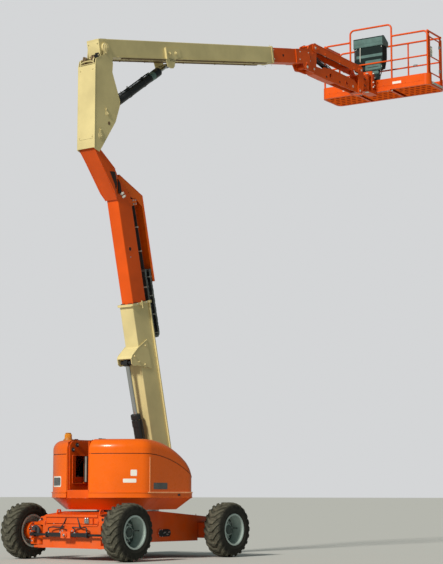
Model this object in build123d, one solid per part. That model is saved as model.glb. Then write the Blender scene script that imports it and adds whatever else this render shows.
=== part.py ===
from build123d import *
from math import cos, hypot, radians, sin
import os

os.makedirs("parts", exist_ok=True)

# Articulating boom lift: a four-wheeled chassis, a turntable with gull-wing hoods, a telescopic tower boom,
# a levelled upright, a telescopic main boom, a parallelogram jib and a railed work platform.
# Millimetres. +X runs to the platform end, +Y to the left, +Z up. The origin is on the ground below the swing axis.

# ---- driving dimensions: wheels and chassis
WHEELBASE = 2440
TRACK = 2130
TYRE_R, TYRE_W = 440, 340
RIM_SEAT_R, RIM_FLANGE_R, RIM_WALL = 238, 256, 9
DISC_INSET = 45          # the rim's disc stands this far inboard of the wheel's middle
HUB_R = 105
KINGPIN_Y = 760
STEER_ARM = 180          # steering arm, from kingpin back to the rod's eye
STEER_Z = 390
FRAME_HALF_W = 550
FRAME_WALL = 12
DECK_Z = 770             # underside of the turntable
LUG_HOLE_R = 20

# ---- driving dimensions: turntable
TAIL_R = 1205            # tail swing radius
SIDE_Y = 1000
HOOD_FRONT_X = 500
HOOD_CORNER_R, HOOD_TAIL_CORNER_R, HOOD_EDGE_R = 180, 260, 150
HOOD_BOTTOM_Z, HOOD_TOP_Z = 955, 1858
HOOD_WALL = 14
BEVEL = 215              # how far the pan draws in below the hoods
CHANNEL_Y = 200          # half width of the channel that takes the lowered tower
HOOD_GAP_Y = 236         # inner edge of each hood

# ---- driving dimensions: tower boom, in its own frame (across = forward, along = up the boom)
TOWER_LEAN = 13.3
TOWER_PIVOT = (740, 1450)
TOWER_DEPTH, TOWER_W, TOWER_WALL = 420, 280, 8
TOWER_TOP = 2740
TOWER_FLY_DEPTH, TOWER_FLY_W = 330, 240
TOWER_STROKE = 1550
TOWER_KINK = 4452
TOWER_CYL_BASE, TOWER_CYL_EYE = (480, 1100), (-45, 3120)

# ---- driving dimensions: upright and main boom
UPRIGHT_PIN = (-930, 6700)
UPRIGHT_W, UPRIGHT_WALL = 372, 12
BOOM_PIVOT = (-800, 8190)
BOOM_PITCH = 11.2
BOOM_DEPTH, BOOM_W, BOOM_WALL = 300, 260, 6
BOOM_TAIL, BOOM_END = -130, 4725
BOOM_FLY_DEPTH, BOOM_FLY_W = 272, 230
BOOM_FLY_END = 5690
BOOM_RETRACT, BOOM_EXTEND = 400, 3300
MAIN_CYL_BASE, MAIN_CYL_EYE = (-777, 7092), (883, 8270)

# ---- driving dimensions: jib
LEVEL_PIN = (4935, 9110)       # jib knuckle on the nose of the main boom
JIB_LOWER_PIN, JIB_UPPER_PIN = (5200, 9130), (5220, 9550)
JIB_LENGTH, JIB_DROP = 1620, 3.5
JIB_CYL_BASE = (5160, 9427)
JIB_CYL_REACH, JIB_CYL_RISE = 1400, 35   # the rod's eye along and above the lower arm

# ---- driving dimensions: platform
ROTATOR_X = 7160
PLATFORM_X = 7500              # near side of the platform, with the platform straight ahead
PLATFORM_DEPTH, PLATFORM_W = 760, 2440
PLATFORM_YAW = 6               # how far the platform is turned when parked like this
FLOOR_Z, FLOOR_DEPTH = 9250, 82
TOE_TOP_Z, MID_RAIL_Z, TOP_RAIL_Z, HOOP_Z = 9400, 9780, 10290, 10540
RAIL_R, RAIL_INSET = 19, 50
PLATFORM_SHIFT = -50           # the platform's middle, to the right of its rotator
HOOP_Y = (-370, 570)
CONSOLE_Y = (-155, 490)
CORNER_R = 110                 # plan corners of the platform
TREAD_X, TREAD_RISE = (150, 685), 3

PIN_GAP = 0.1            # radial clearance of every pin in its bore
SLIDE_GAP = 0.3


# ---- helpers
def side_plane(x, z, lean=0):
    """Plane seen from the right side: local x runs forward, local y up, tipped back by lean degrees."""
    a = radians(lean)
    return Plane(origin=(x, 0, z), x_dir=(cos(a), 0, sin(a)), z_dir=(0, -1, 0))


SIDE = side_plane(0, 0)
TOWER = side_plane(*TOWER_PIVOT, TOWER_LEAN)
BOOM = side_plane(*BOOM_PIVOT, BOOM_PITCH)
JIB_LOWER = side_plane(*JIB_LOWER_PIN, -JIB_DROP)
JIB_UPPER = side_plane(*JIB_UPPER_PIN, -JIB_DROP)


def outline(points, radius=0):
    """Closed face through the points, with every corner rounded."""
    face = make_face(Polyline(*points, close=True))
    return fillet(face.vertices(), radius) if radius else face


def slab(points, y_low, y_high, plane=SIDE, radius=0):
    """Plate with its outline in the side plane, between two Y values."""
    return extrude(plane.offset(-y_high) * outline(points, radius), y_high - y_low)


def block(x_low, x_high, y_low, y_high, z_low, z_high):
    """Box between six planes."""
    centre = Pos((x_low + x_high) / 2, (y_low + y_high) / 2, (z_low + z_high) / 2)
    return centre * Box(x_high - x_low, y_high - y_low, z_high - z_low)


def both(shape):
    """The shape and its twin on the other side."""
    return shape + mirror(shape, Plane.XZ)


def cross_bar(at, radius, y_low, y_high, plane=SIDE):
    """Round bar along Y, centred on a point of the side plane."""
    disc = plane.offset(-y_high) * Pos(at[0], at[1]) * Circle(radius)
    return extrude(disc, y_high - y_low)


def post(x, y, radius, z_low, z_high):
    """Upright round bar."""
    return Pos(x, y, (z_low + z_high) / 2) * Cylinder(radius, z_high - z_low)


def box_bar(plane, low, high, depth, width, radius):
    """Solid rectangular section along the plane's local y."""
    start = plane.from_local_coords((0, low, 0))
    cut = Plane(origin=start, x_dir=plane.x_dir, z_dir=plane.y_dir)
    return extrude(cut * RectangleRounded(depth, width, radius), high - low)


def box_tube(plane, low, high, depth, width, wall, radius=12):
    """Hollow rectangular section along the plane's local y."""
    core = box_bar(plane, low - 1, high + 1, depth - 2 * wall, width - 2 * wall, max(radius - wall, 2))
    return box_bar(plane, low, high, depth, width, radius) - core


def turned(plane):
    """The plane with its local y where its local x was, for tubes that run along local x."""
    return Plane(origin=plane.origin, x_dir=-plane.y_dir, z_dir=plane.z_dir)


def world(plane, at):
    """Side-plane point as (x, z)."""
    p = plane.from_local_coords((at[0], at[1], 0))
    return p.X, p.Z


def bar(p, q, radius):
    """Round bar between two points in space."""
    a, b = Vector(*p), Vector(*q)
    return extrude(Plane(origin=a, z_dir=b - a) * Circle(radius), (b - a).length)


def pipe(points, radius, bend):
    """Bent round tube along corner points."""
    path = FilletPolyline(*points, radius=bend)
    return sweep(Plane(origin=path @ 0, z_dir=path % 0) * Circle(radius), path=path)


def ram(base, eye, barrel_r, rod_r, barrel_start, barrel_length, rod_inside, eye_r, eye_w, pin_r, pin_w):
    """Barrel and rod of a cylinder between two side-plane points. The base eye is bored for its pin,
    and the rod carries its own eye and pin."""
    length = hypot(eye[0] - base[0], eye[1] - base[1])
    plane = Plane(origin=(base[0], 0, base[1]), z_dir=(eye[0] - base[0], 0, eye[1] - base[1]))

    def turned_bar(radius, low, high):
        return extrude(plane.offset(low) * Circle(radius), high - low)

    gland = 0.09 * barrel_length
    barrel = turned_bar(barrel_r, barrel_start, barrel_length)
    barrel += turned_bar(barrel_r + 7, barrel_length - gland, barrel_length)
    barrel += turned_bar(min(barrel_r, eye_w / 2) - 4, 0, barrel_start + 20)
    barrel -= turned_bar(rod_r + 6, barrel_start + 25, barrel_length - gland)
    barrel -= turned_bar(rod_r + SLIDE_GAP, barrel_length - gland - 1, barrel_length + 1)
    barrel += cross_bar(base, eye_r, -eye_w / 2, eye_w / 2)
    barrel -= cross_bar(base, pin_r + PIN_GAP, -eye_w, eye_w)
    rod = turned_bar(rod_r, rod_inside, length - eye_r * 0.6)
    rod += cross_bar(eye, eye_r, -eye_w / 2, eye_w / 2)
    rod += cross_bar(eye, pin_r, -pin_w / 2, pin_w / 2)
    return barrel, rod


# ---- wheels: name, x, y
WHEELS = {
    "front_left": (WHEELBASE / 2, TRACK / 2),
    "front_right": (WHEELBASE / 2, -TRACK / 2),
    "rear_left": (-WHEELBASE / 2, TRACK / 2),
    "rear_right": (-WHEELBASE / 2, -TRACK / 2),
}


def revolved_about_axle(points, radius=0):
    """Ring from a section given as (outboard, radius) points."""
    section = Plane(origin=(0, 0, 0), x_dir=(0, 1, 0), z_dir=(1, 0, 0)) * outline(points, radius)
    return revolve(section, Axis((0, 0, 0), (0, 1, 0)))


def make_tyre():
    half = TYRE_W / 2
    section = [
        (-half + 26, RIM_SEAT_R), (-half + 26, RIM_FLANGE_R + 2), (-half + 10, RIM_FLANGE_R + 18), (-half, 330),
        (-half + 14, 405), (-half + 42, 434), (0, TYRE_R), (half - 42, 434), (half - 14, 405), (half, 330),
        (half - 10, RIM_FLANGE_R + 18), (half - 26, RIM_FLANGE_R + 2), (half - 26, RIM_SEAT_R),
    ]
    return revolved_about_axle(section)


def make_rim():
    half = TYRE_W / 2 - 26
    lip, wall, disc = 12, RIM_WALL, -DISC_INSET
    barrel = revolved_about_axle([
        (-half - lip, RIM_SEAT_R - wall), (-half - lip, RIM_FLANGE_R), (-half, RIM_FLANGE_R),
        (-half, RIM_SEAT_R), (half, RIM_SEAT_R), (half, RIM_FLANGE_R), (half + lip, RIM_FLANGE_R),
        (half + lip, RIM_SEAT_R - wall),
    ])
    disc_ring = revolved_about_axle([
        (disc - 12, 0), (disc - 12, HUB_R + 60), (disc - 34, RIM_SEAT_R - 40), (disc - 34, RIM_SEAT_R - wall),
        (disc - 18, RIM_SEAT_R - wall), (disc + 4, HUB_R + 66), (disc + 4, HUB_R),
        (disc + 70, HUB_R - 6), (disc + 84, HUB_R - 22), (disc + 84, 0),
    ])
    nuts = [Pos(0, disc + 10, 0) * Rot(0, a, 0) * Pos(HUB_R + 32, 0, 0) * Rot(90, 0, 0) * Cylinder(15, 22)
            for a in range(0, 360, 40)]
    return barrel + disc_ring + nuts


def wheel_parts():
    tyre, rim = make_tyre(), make_rim()
    found = {}
    for name, (x, y) in WHEELS.items():
        flip = Rot(0, 0, 180) if y < 0 else Rot(0, 0, 0)
        found["tyre_" + name] = Pos(x, y, TYRE_R) * flip * tyre
        found["rim_" + name] = Pos(x, y, TYRE_R) * flip * rim
    return found


# ---- chassis
FRAME_SIDE = [(-1300, 520), (-1300, 690), (-900, 735), (100, 735), (1340, 640), (1530, 620), (1530, 340), (1180, 265),
              (-560, 265), (-800, 520)]
AXLE_Z = (185, 580)      # underside of the steering yokes' lower ears, and top of their upper ears
YOKE = 45                # thickness of the yoke's upper and lower ears
HOUSING_END_Y = TRACK / 2 - DISC_INSET - 45


def make_chassis_frame():
    frame = slab(FRAME_SIDE, -FRAME_HALF_W, FRAME_HALF_W)
    hollow = [(-1288, 500), (-1288, 678), (-900, 723), (100, 723), (1340, 628), (1518, 609), (1518, 250), (1180, 250),
              (-560, 250), (-810, 500)]
    frame -= slab(hollow, FRAME_WALL - FRAME_HALF_W, FRAME_HALF_W - FRAME_WALL)
    axle_notch = block(WHEELBASE / 2 - 120, WHEELBASE / 2 + 120, -FRAME_HALF_W - 1, FRAME_HALF_W + 1, 200, 560)
    frame -= axle_notch
    frame -= block(-WHEELBASE / 2 - 100, -WHEELBASE / 2 + 100, -FRAME_HALF_W - 1, FRAME_HALF_W + 1, 500, AXLE_Z[1] - 20)
    # round inspection port in each side, with a collar
    frame += both(cross_bar((160, 395), 72, FRAME_HALF_W, FRAME_HALF_W + 14))
    frame -= both(cross_bar((160, 395), 52, FRAME_HALF_W - 30, FRAME_HALF_W + 20))
    # bolting ring for the slew bearing, and cross walls under it
    frame += post(0, 0, 520, 723, 735) - post(0, 0, 400, 700, 740)
    for x in (-560, 560):
        frame += block(x - 6, x + 6, FRAME_WALL - FRAME_HALF_W, FRAME_HALF_W - FRAME_WALL, 275, 700)
    # tie-down lugs: upright on the rear of the frame, and standing out from its front end
    rear = slab([(-1180, 690), (-1152, 775), (-1088, 775), (-1060, 690)], 440, 460)
    front = slab([(1529, 440), (1529, 600), (1602, 562), (1602, 478)], 440, 460)
    rear -= cross_bar((-1120, 742), LUG_HOLE_R, 400, 500)
    front -= cross_bar((1562, 520), LUG_HOLE_R, 400, 500)
    return frame + both(rear + front)


def make_slew_ring():
    return post(0, 0, 500, 735, 765) - post(0, 0, 400, 700, 800)


def make_steer_axle():
    x = -WHEELBASE / 2
    low, high = AXLE_Z
    beam = block(x - 90, x + 90, -610, 610, low, high - 30)
    beam -= block(x - 78, x + 78, -560, 560, low - 1, high - 45)
    # mounting pad up to the frame, and the yokes that hold the kingpins
    beam += block(x - 60, x + 120, -180, 180, high - 32, 678)
    for z in (low, high - YOKE):
        ear = Pos(x, 0, z) * extrude(outline([(-90, 560), (-90, 640), (-60, 830), (60, 830), (90, 640), (90, 560)]), YOKE)
        beam += both(ear)
    beam += both(post(x, KINGPIN_Y, 32, low - 12, high + 12))
    # centre bracket that carries both steering cylinders
    beam += block(x - STEER_ARM - 45, x - 80, -100, 100, STEER_Z - 50, STEER_Z + 50)
    beam += Pos(x - STEER_ARM - 45, 0, STEER_Z) * Rot(0, 90, 0) * Cylinder(38, 40)
    return beam


def make_steer_barrels():
    x = -WHEELBASE / 2 - STEER_ARM
    barrel = bar((x, 100, STEER_Z), (x, 440, STEER_Z), 34) + bar((x, 405, STEER_Z), (x, 440, STEER_Z), 40)
    barrel -= bar((x, 130, STEER_Z), (x, 405, STEER_Z), 24)
    barrel -= bar((x, 400, STEER_Z), (x, 441, STEER_Z), 18 + SLIDE_GAP)
    return both(barrel)


def make_steer_rod(side):
    x = -WHEELBASE / 2 - STEER_ARM
    rod = bar((x, 270, STEER_Z), (x, KINGPIN_Y - 20, STEER_Z), 18)
    rod += post(x, KINGPIN_Y, 30, STEER_Z - 22, STEER_Z + 22)
    rod += post(x, KINGPIN_Y, 13, STEER_Z - 28, STEER_Z + 28)
    return rod if side > 0 else mirror(rod, Plane.XZ)


def drive_housing(x):
    """Gearbox of a driven hub, from the axle's end to just inside the rim's disc."""
    return (bar((x, 700, TYRE_R), (x, HOUSING_END_Y, TYRE_R), 118)
            + bar((x, HOUSING_END_Y - 60, TYRE_R), (x, HOUSING_END_Y, TYRE_R), 140))


def make_knuckle(side):
    x = -WHEELBASE / 2
    low, high = AXLE_Z[0] + YOKE + 6, AXLE_Z[1] - YOKE - 6
    body = post(x, KINGPIN_Y, 92, low, high)
    body += block(x - 92, x + 92, KINGPIN_Y, KINGPIN_Y + 110, low, high)
    body += bar((x, KINGPIN_Y + 100, TYRE_R), (x, HOUSING_END_Y, TYRE_R), 96)
    body += bar((x, KINGPIN_Y + 110, TYRE_R), (x, HOUSING_END_Y, TYRE_R), 140)
    body -= post(x, KINGPIN_Y, 32 + PIN_GAP, low - 1, high + 1)
    # forked steering arm, open where the rod's eye swings
    for z in (STEER_Z - 58, STEER_Z + 34):
        arm = slab([(x - STEER_ARM - 30, z), (x - STEER_ARM - 30, z + 24), (x - 60, z + 24), (x - 60, z)],
                   KINGPIN_Y - 34, KINGPIN_Y + 34)
        body += arm
    return body if side > 0 else mirror(body, Plane.XZ)


def make_fixed_axle():
    x = WHEELBASE / 2
    beam = block(x - 95, x + 95, -700, 700, 300, 550) - block(x - 83, x + 83, -690, 690, 299, 538)
    beam += both(drive_housing(x))
    return beam


# ---- turntable
def plan(inset):
    """Plan outline of the hoods and of the pan below: an arc about the swing axis behind, straight sides and
    rounded corners, drawn in by inset."""
    r, y, x = TAIL_R - inset, SIDE_Y - inset, HOOD_FRONT_X - inset
    back = -(r ** 2 - y ** 2) ** 0.5
    rear = ThreePointArc((back, y), (-r, 0), (back, -y))
    rest = Polyline((back, -y), (x, -y), (x, y), (back, y))
    face = make_face([rear, rest])
    face = fillet([v for v in face.vertices() if v.X > 0], max(HOOD_CORNER_R - inset, 30))
    return fillet([v for v in face.vertices() if v.X < -500], max(HOOD_TAIL_CORNER_R - inset, 30))


CROWN = (-620, 1569.5, 35.9)     # start of the crown's fall, its radius, and the angle it turns through


def hood_form(inset, z_low=HOOD_BOTTOM_Z):
    """Outer form of both hoods together, drawn in by inset. Its top falls away in two arcs to the front, and its
    upper edges are rounded."""
    top, front = HOOD_TOP_Z - inset, HOOD_FRONT_X - inset
    start, radius, turn = CROWN
    crown = JernArc((start, top), (1, 0), radius - inset, -turn)
    brow = JernArc(crown @ 1, crown % 1, 482.6 - inset, turn - 90)
    close = Polyline(brow @ 1, (front, z_low - 1), (-1400, z_low - 1), (-1400, top), (start, top))
    side = extrude(SIDE.offset(-1300) * make_face([crown, brow, close]), 2600)
    body = extrude(Pos(0, 0, z_low) * plan(inset), HOOD_TOP_Z + 100 - z_low)
    form = body & side
    rim = [e for e in form.edges() if e.center().Z > 1180 and e.geom_type != GeomType.LINE
           and not (abs(e.center().Y) < 60 and e.center().X > 0)]
    return fillet(rim, HOOD_EDGE_R - inset)


def make_hoods():
    """Right and left hood, each a moulded shell open below and towards the channel."""
    shell = hood_form(0)
    # rolled skirt round the lower edge
    shell += hood_form(-12) & block(-1400, 600, -1100, 1100, HOOD_BOTTOM_Z, 1035)
    # styling groove, level at the tail and falling towards the front
    line = JernArc((-750, 1637), (1, 0), 2186, -31.5)
    low = JernArc((-750, 1625), (1, 0), 2174, -31.5)
    band = make_face([line, Line(line @ 1, low @ 1), low, Polyline(low @ 0, (-1400, 1625), (-1400, 1637), line @ 0)])
    groove = extrude(SIDE.offset(-1300) * band, 2600) - hood_form(7)
    shell -= groove
    inner = hood_form(HOOD_WALL, HOOD_BOTTOM_Z - 20)
    shell -= inner
    left = shell & block(-1400, 600, HOOD_GAP_Y, 1100, 900, 1900)
    return left, mirror(left, Plane.XZ)


def pan_form(inset):
    """Bevelled pan below the hoods."""
    top = Pos(0, 0, HOOD_BOTTOM_Z - 5) * plan(inset)
    bottom = Pos(0, 0, DECK_Z) * plan(BEVEL + inset)
    return loft([bottom.face(), top.face()])


def make_counterweight():
    weight = pan_form(0) & block(-1300, -430, -1100, 1100, 700, 1000)
    # raised stacks either side of the channel, and the sill across its rear end
    stack = extrude(Pos(0, 0, HOOD_BOTTOM_Z - 6) * plan(60), 330)
    stack &= block(-1300, -640, HOOD_GAP_Y + 10, 1100, 900, 1400)
    weight += both(stack)
    sill = post(0, 0, TAIL_R - 4, HOOD_BOTTOM_Z - 10, 1075) & block(-1300, -1090, -230, 230, 900, 1100)
    weight += sill
    weight -= block(-1060, -300, -180, 180, 900, 1200)
    return weight


def make_turntable_frame():
    pan = pan_form(0) - (pan_form(12) + extrude(Pos(0, 0, 945) * plan(12), 20)) + (
        extrude(Pos(0, 0, DECK_Z) * plan(BEVEL), 30))
    frame = pan & block(-425, 600, -1100, 1100, 700, 1000)
    # pan underside continues to the nose that carries the tower
    frame += block(-425, 930, -216, 216, DECK_Z, DECK_Z + 30)
    # tall side plates: channel walls behind, tower ears in front
    wall = [(-1150, 1082), (-1150, 1770), (-1100, 1830), (-560, 1830), (0, 1700), (430, 1540), (640, 1570),
            (790, 1570), (900, 1480), (930, 1350), (930, 800), (-425, 800), (-425, 955), (-1084, 955), (-1084, 1082)]
    plate = slab(wall, CHANNEL_Y, CHANNEL_Y + 16)
    plate -= slab([(-1090, 1180), (-1090, 1605), (-820, 1605), (-820, 1180)], 190, 230, radius=25)
    plate += cross_bar(TOWER_PIVOT, 95, CHANNEL_Y, CHANNEL_Y + 40)
    # liner that closes the gap between the channel and each hood, behind
    liner = extrude(Pos(0, 0, HOOD_BOTTOM_Z + 122) * plan(8), 746) & block(-1300, -1000, CHANNEL_Y + 15, HOOD_GAP_Y - 6,
                                                                         900, 1900)
    plate += liner
    frame += both(plate)
    # channel floor between the walls, and the ears of the tower cylinder
    frame += block(-425, 930, -205, 205, 940, 952)
    ear = slab([(380, 800), (420, 1130), (450, 1160), (510, 1160), (540, 1130), (600, 800)], 46, 66)
    frame += both(ear)
    frame += cross_bar(TOWER_PIVOT, 45, -CHANNEL_Y - 46, CHANNEL_Y + 46)
    frame += cross_bar(TOWER_CYL_BASE, 30, -76, 76)
    return frame


def make_engine():
    return block(-410, 250, 330, 795, 805, 1380)


def make_tanks():
    fuel = fillet(block(-410, -60, -795, -360, 805, 1330).edges(), 40)
    oil = fillet(block(-20, 290, -795, -360, 805, 1240).edges(), 40)
    return fuel, oil


def make_beacon():
    x, y = -880, 500
    return (post(x, y, 80, HOOD_TOP_Z, HOOD_TOP_Z + 22) + post(x, y, 62, HOOD_TOP_Z + 22, HOOD_TOP_Z + 110)
            + post(x, y, 68, HOOD_TOP_Z + 110, HOOD_TOP_Z + 122))


# ---- tower boom
def make_tower_base():
    base = box_tube(TOWER, -150, TOWER_TOP, TOWER_DEPTH, TOWER_W, TOWER_WALL, 14)
    collar = box_tube(TOWER, TOWER_TOP - 32, TOWER_TOP, TOWER_DEPTH + 56, TOWER_W + 56, 34, 20)
    base += collar
    # clevis box for the lift cylinder: two gusset plates and a sloping top, open below and behind
    face = -TOWER_DEPTH / 2
    gusset = [(13, 2121), (face - 5, 2036), (-408, 1925), (-440, 1880), (-440, 1790), (-400, 1752), (-320, 1748),
              (32, 1639)]
    base += both(slab(gusset, TOWER_W / 2 - 1, TOWER_W / 2 + 13, TOWER))
    top = [(face + 2, 2040), (face - 8, 2036), (-408, 1925), (-440, 1880), (-430, 1874), (-401, 1914), (face + 2, 2024)]
    base += slab(top, -TOWER_W / 2, TOWER_W / 2, TOWER)
    # pivot bosses and bore
    base += both(cross_bar((0, 0), 90, TOWER_W / 2 - 10, CHANNEL_Y - 6, TOWER))
    base -= cross_bar((0, 0), 45 + PIN_GAP, -300, 300, TOWER)
    return base


TOWER_FLY_LOW = 1760
GOOSENECK = [(-470, 5740), (-1040, 6460), (-1058, 6600), (-1058, 6826), (-802, 6826), (-792, 6690), (-930, 6492),
             (-450, 6140), (-128, 5840)]
NECK_W = 320             # the neck flares out from the tube to fill the upright


def make_tower_fly():
    fly = box_bar(TOWER, TOWER_FLY_LOW, TOWER_KINK + 30, TOWER_FLY_DEPTH, TOWER_FLY_W, 12) + gooseneck(0)
    fly -= box_bar(TOWER, TOWER_FLY_LOW - 1, TOWER_KINK + 60, TOWER_FLY_DEPTH - 16, TOWER_FLY_W - 16, 4)
    fly -= gooseneck(8)
    fly += both(cross_bar(UPRIGHT_PIN, 118, NECK_W / 2 - 8, UPRIGHT_W / 2 - UPRIGHT_WALL - 6))
    fly -= cross_bar(UPRIGHT_PIN, 40 + PIN_GAP, -300, 300)
    # adjustment hole low on each side
    fly -= cross_bar((-40, 3627), 30, -200, 200, TOWER)
    return fly


def gooseneck(inset):
    face = outline(GOOSENECK)
    face = fillet([v for v in face.vertices() if v.Y > 6700], 110)
    if inset:
        face = offset(face, -inset, kind=Kind.INTERSECTION)
    half = NECK_W / 2 - inset
    plan_view = make_face(Polyline((-2000, half), (-560, half), (-460, half - 40), (0, half - 40), (0, 40 - half),
                                   (-460, 40 - half), (-560, -half), (-2000, -half), close=True))
    return extrude(SIDE.offset(-half) * face, 2 * half) & extrude(Pos(0, 0, 5000) * plan_view, 2500)


GUARD = [(495, 3030), (495, 4458), (-9, 4850), (-50, 4668), (116, 4540), (285, 4400), (285, 3030)]


def make_track_guard():
    """Folded guard over the hoses: an outer web, a wide cheek on the left, and on the right one that narrows to a
    lip below the bend. It is open towards the boom and at both ends."""
    half = 88
    guard = slab(GUARD, -half, half, TOWER)
    hollow = [(489, 3029), (489, 4455), (-60, 4882), (-300, 4700), (100, 4400), (200, 3029)]
    guard -= slab(hollow, 6 - half, half - 6, TOWER)
    guard -= slab([(200, 3029), (200, 4440), (314, 4437), (458, 4270), (458, 3029)], -half - 1, 10 - half, TOWER)
    guard -= box_bar(TOWER, 3000, TOWER_KINK + 100, TOWER_FLY_DEPTH + 10, TOWER_FLY_W + 10, 12) + gooseneck(-5)
    # brackets to the fly's front face, above the tower's collar when the fly is in
    foot = [(TOWER_FLY_DEPTH / 2, 4320), (TOWER_FLY_DEPTH / 2, 4430), (330, 4430), (330, 4320)]
    guard += both(slab(foot, half - 12, half, TOWER))
    return guard + slab([(318, 4320), (318, 4430), (330, 4430), (330, 4320)], -half, half, TOWER)


def make_power_track():
    """Cable carrier hanging in a loop below the guard: two runs of links joined by a bend."""
    outer, inner, half, bottom = 452, 300, 78, 2190
    thick = 46
    track = slab([(outer - thick, bottom), (outer, bottom), (outer, 3240), (outer - thick, 3240)], -half, half, TOWER)
    track += slab([(inner - 10, bottom), (inner - 10 + thick, bottom), (inner - 10 + thick, 3240), (inner - 10, 3240)],
                  -half, half, TOWER)
    centre = ((outer + inner - 10) / 2, bottom)
    radius = (outer - inner + 10) / 2
    bend = cross_bar(centre, radius, -half, half, TOWER) - cross_bar(centre, radius - thick, -half - 1, half + 1, TOWER)
    bend &= slab([(0, bottom), (700, bottom), (700, bottom - 400), (0, bottom - 400)], -200, 200, TOWER)
    track += bend
    # joints between the links
    for k in range(1, 9):
        z = bottom + k * 120
        for low, high in ((outer - 8, outer + 5), (inner - 15, inner - 2)):
            track -= slab([(low, z), (high, z), (high, z + 8), (low, z + 8)], -100, 100, TOWER)
    return track


def tower_ram():
    return ram(TOWER_CYL_BASE, TOWER_CYL_EYE, 75, 36, 100, 1137, 900, 58, 84, 30, 236)


# ---- upright and main boom
UPRIGHT_SIDE = [(-1086, 7872), (-1086, 6480), (-966, 6439), (-588, 6995), (-487, 7285), (-487, 7362), (-679, 7800),
                (-666, 7950), (-680, 8080), (-704, 8180), (-742, 8244), (-800, 8266), (-846, 8252), (-868, 8205),
                (-880, 8052), (-950, 8018), (-1068, 7948)]


def make_upright():
    half = UPRIGHT_W / 2
    upright = both(slab(UPRIGHT_SIDE, half - UPRIGHT_WALL, half))
    upright += block(-1086, -1074, -half, half, 6490, 7868)
    # cross stiffener below the cylinder's foot
    upright += block(-1076, -940, -half + 4, half - 4, 6970, 6982)
    upright += cross_bar(UPRIGHT_PIN, 40, -half - 4, half + 4)
    upright += cross_bar(BOOM_PIVOT, 42, -half - 6, half + 6)
    upright += cross_bar(MAIN_CYL_BASE, 28, -half - 4, half + 4)
    return upright


def main_ram():
    return ram(MAIN_CYL_BASE, MAIN_CYL_EYE, 70, 36, 90, 1795, 300, 42, 90, 28, 240)


def make_main_boom():
    along = turned(BOOM)
    boom = box_tube(along, BOOM_TAIL, BOOM_END, BOOM_DEPTH, BOOM_W, BOOM_WALL, 12)
    boom += slab([(BOOM_TAIL, -147), (BOOM_TAIL, 147), (BOOM_TAIL + 8, 147), (BOOM_TAIL + 8, -147)],
                 -127, 127, BOOM)
    boom += box_tube(along, BOOM_END - 40, BOOM_END, BOOM_DEPTH + 16, BOOM_W + 16, 12, 14)
    # hanging bracket for the lift cylinder's rod
    eye = BOOM.to_local_coords(Vector(MAIN_CYL_EYE[0], 0, MAIN_CYL_EYE[1]))
    cheek = [(eye.X - 140, 45), (eye.X - 140, -150), (eye.X - 105, eye.Y - 30), (eye.X - 40, eye.Y - 58),
             (eye.X + 35, eye.Y - 58), (eye.X + 75, eye.Y - 25), (eye.X + 120, -150), (eye.X + 270, -105),
             (eye.X + 270, 45)]
    boom += both(slab(cheek, BOOM_W / 2 - 1, BOOM_W / 2 + 11, BOOM))
    rib = [(eye.X - 140, 45), (eye.X - 140, -150), (eye.X - 128, -150), (eye.X - 128, 45)]
    boom += both(slab(rib, BOOM_W / 2 + 10, BOOM_W / 2 + 40, BOOM))
    # pivot bosses and bore
    boom += both(cross_bar((0, 0), 85, BOOM_W / 2 - 2, UPRIGHT_W / 2 - UPRIGHT_WALL - 6, BOOM))
    boom -= cross_bar((0, 0), 42 + PIN_GAP, -300, 300, BOOM)
    return boom


def make_main_fly():
    along = turned(BOOM)
    fly = box_tube(along, 750, BOOM_FLY_END, BOOM_FLY_DEPTH, BOOM_FLY_W, 6, 10)
    # nose: thick cheeks outside the knuckle, down to the pin that carries it
    nose = [(4560, 9388), (4756, 9428), (4955, 9480), (5036, 9455), (5046, 9300), (4992, 9062), (4888, 9056),
            (4840, 9110), (4805, 9163), (4600, 9122)]
    fly += both(slab(nose, 114, 130))
    fly -= cross_bar((BOOM_FLY_END - 620, 0), 25, -200, 200, BOOM)
    fly += cross_bar(LEVEL_PIN, 28, -138, 138)
    return fly


# ---- jib
KNUCKLE = [(4935 - 58, 9110 - 50), (4935 - 62, 9110 + 40), (4960, 9400), (5020, 9560), (5150, 9625), (5260, 9625),
           (5296, 9560), (5275, 9120), (5240, 9064), (5180, 9058)]


def make_jib_knuckle():
    plate = slab(KNUCKLE, 87, 107)
    plate += cross_bar(JIB_UPPER_PIN, 36, 83, 87.5)
    plate += cross_bar((5050, 9335), 46, 83, 111.5)
    knuckle = both(plate)
    # bars that tie the plates together, clear of the cylinder
    knuckle += cross_bar((5105, 9575), 16, -90, 90)
    knuckle += cross_bar(JIB_CYL_BASE, 22, -90, 90)
    knuckle += cross_bar(JIB_LOWER_PIN, 25, -90, 90)
    knuckle += cross_bar((5000, 9180), 20, -90, 90)
    knuckle += both(cross_bar(JIB_UPPER_PIN, 25, 85, 130))
    knuckle -= cross_bar(LEVEL_PIN, 28 + PIN_GAP, -150, 150)
    return knuckle


def make_jib_lower():
    end = JIB_LENGTH
    side = [(-52, -40), (-52, 45), (60, 84), (310, 100), (370, 146), (500, 156), (570, 184), (end - 180, 184),
            (end - 62, 112), (end + 52, 45), (end + 52, -45), (1150, -60), (420, -84), (60, -84)]
    arm = slab(side, -80, 80, JIB_LOWER, 12)
    arm -= slab([(-60, -25), (-60, 200), (end + 60, 200), (end + 60, -33), (1150, -48), (420, -72), (60, -72)],
                -65, 65, JIB_LOWER)
    # the floor stops short of the end, where the cylinder swings through
    arm -= slab([(770, -150), (770, 0), (end - 85, 0), (end - 85, -150)], -65, 65, JIB_LOWER)
    # lightening holes
    for x in (600, 1180):
        arm -= cross_bar((x, 40), 42, -100, 100, JIB_LOWER)
    for x in (0, end):
        arm -= cross_bar((x, 0), 25 + PIN_GAP, -100, 100, JIB_LOWER)
    return arm


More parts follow.
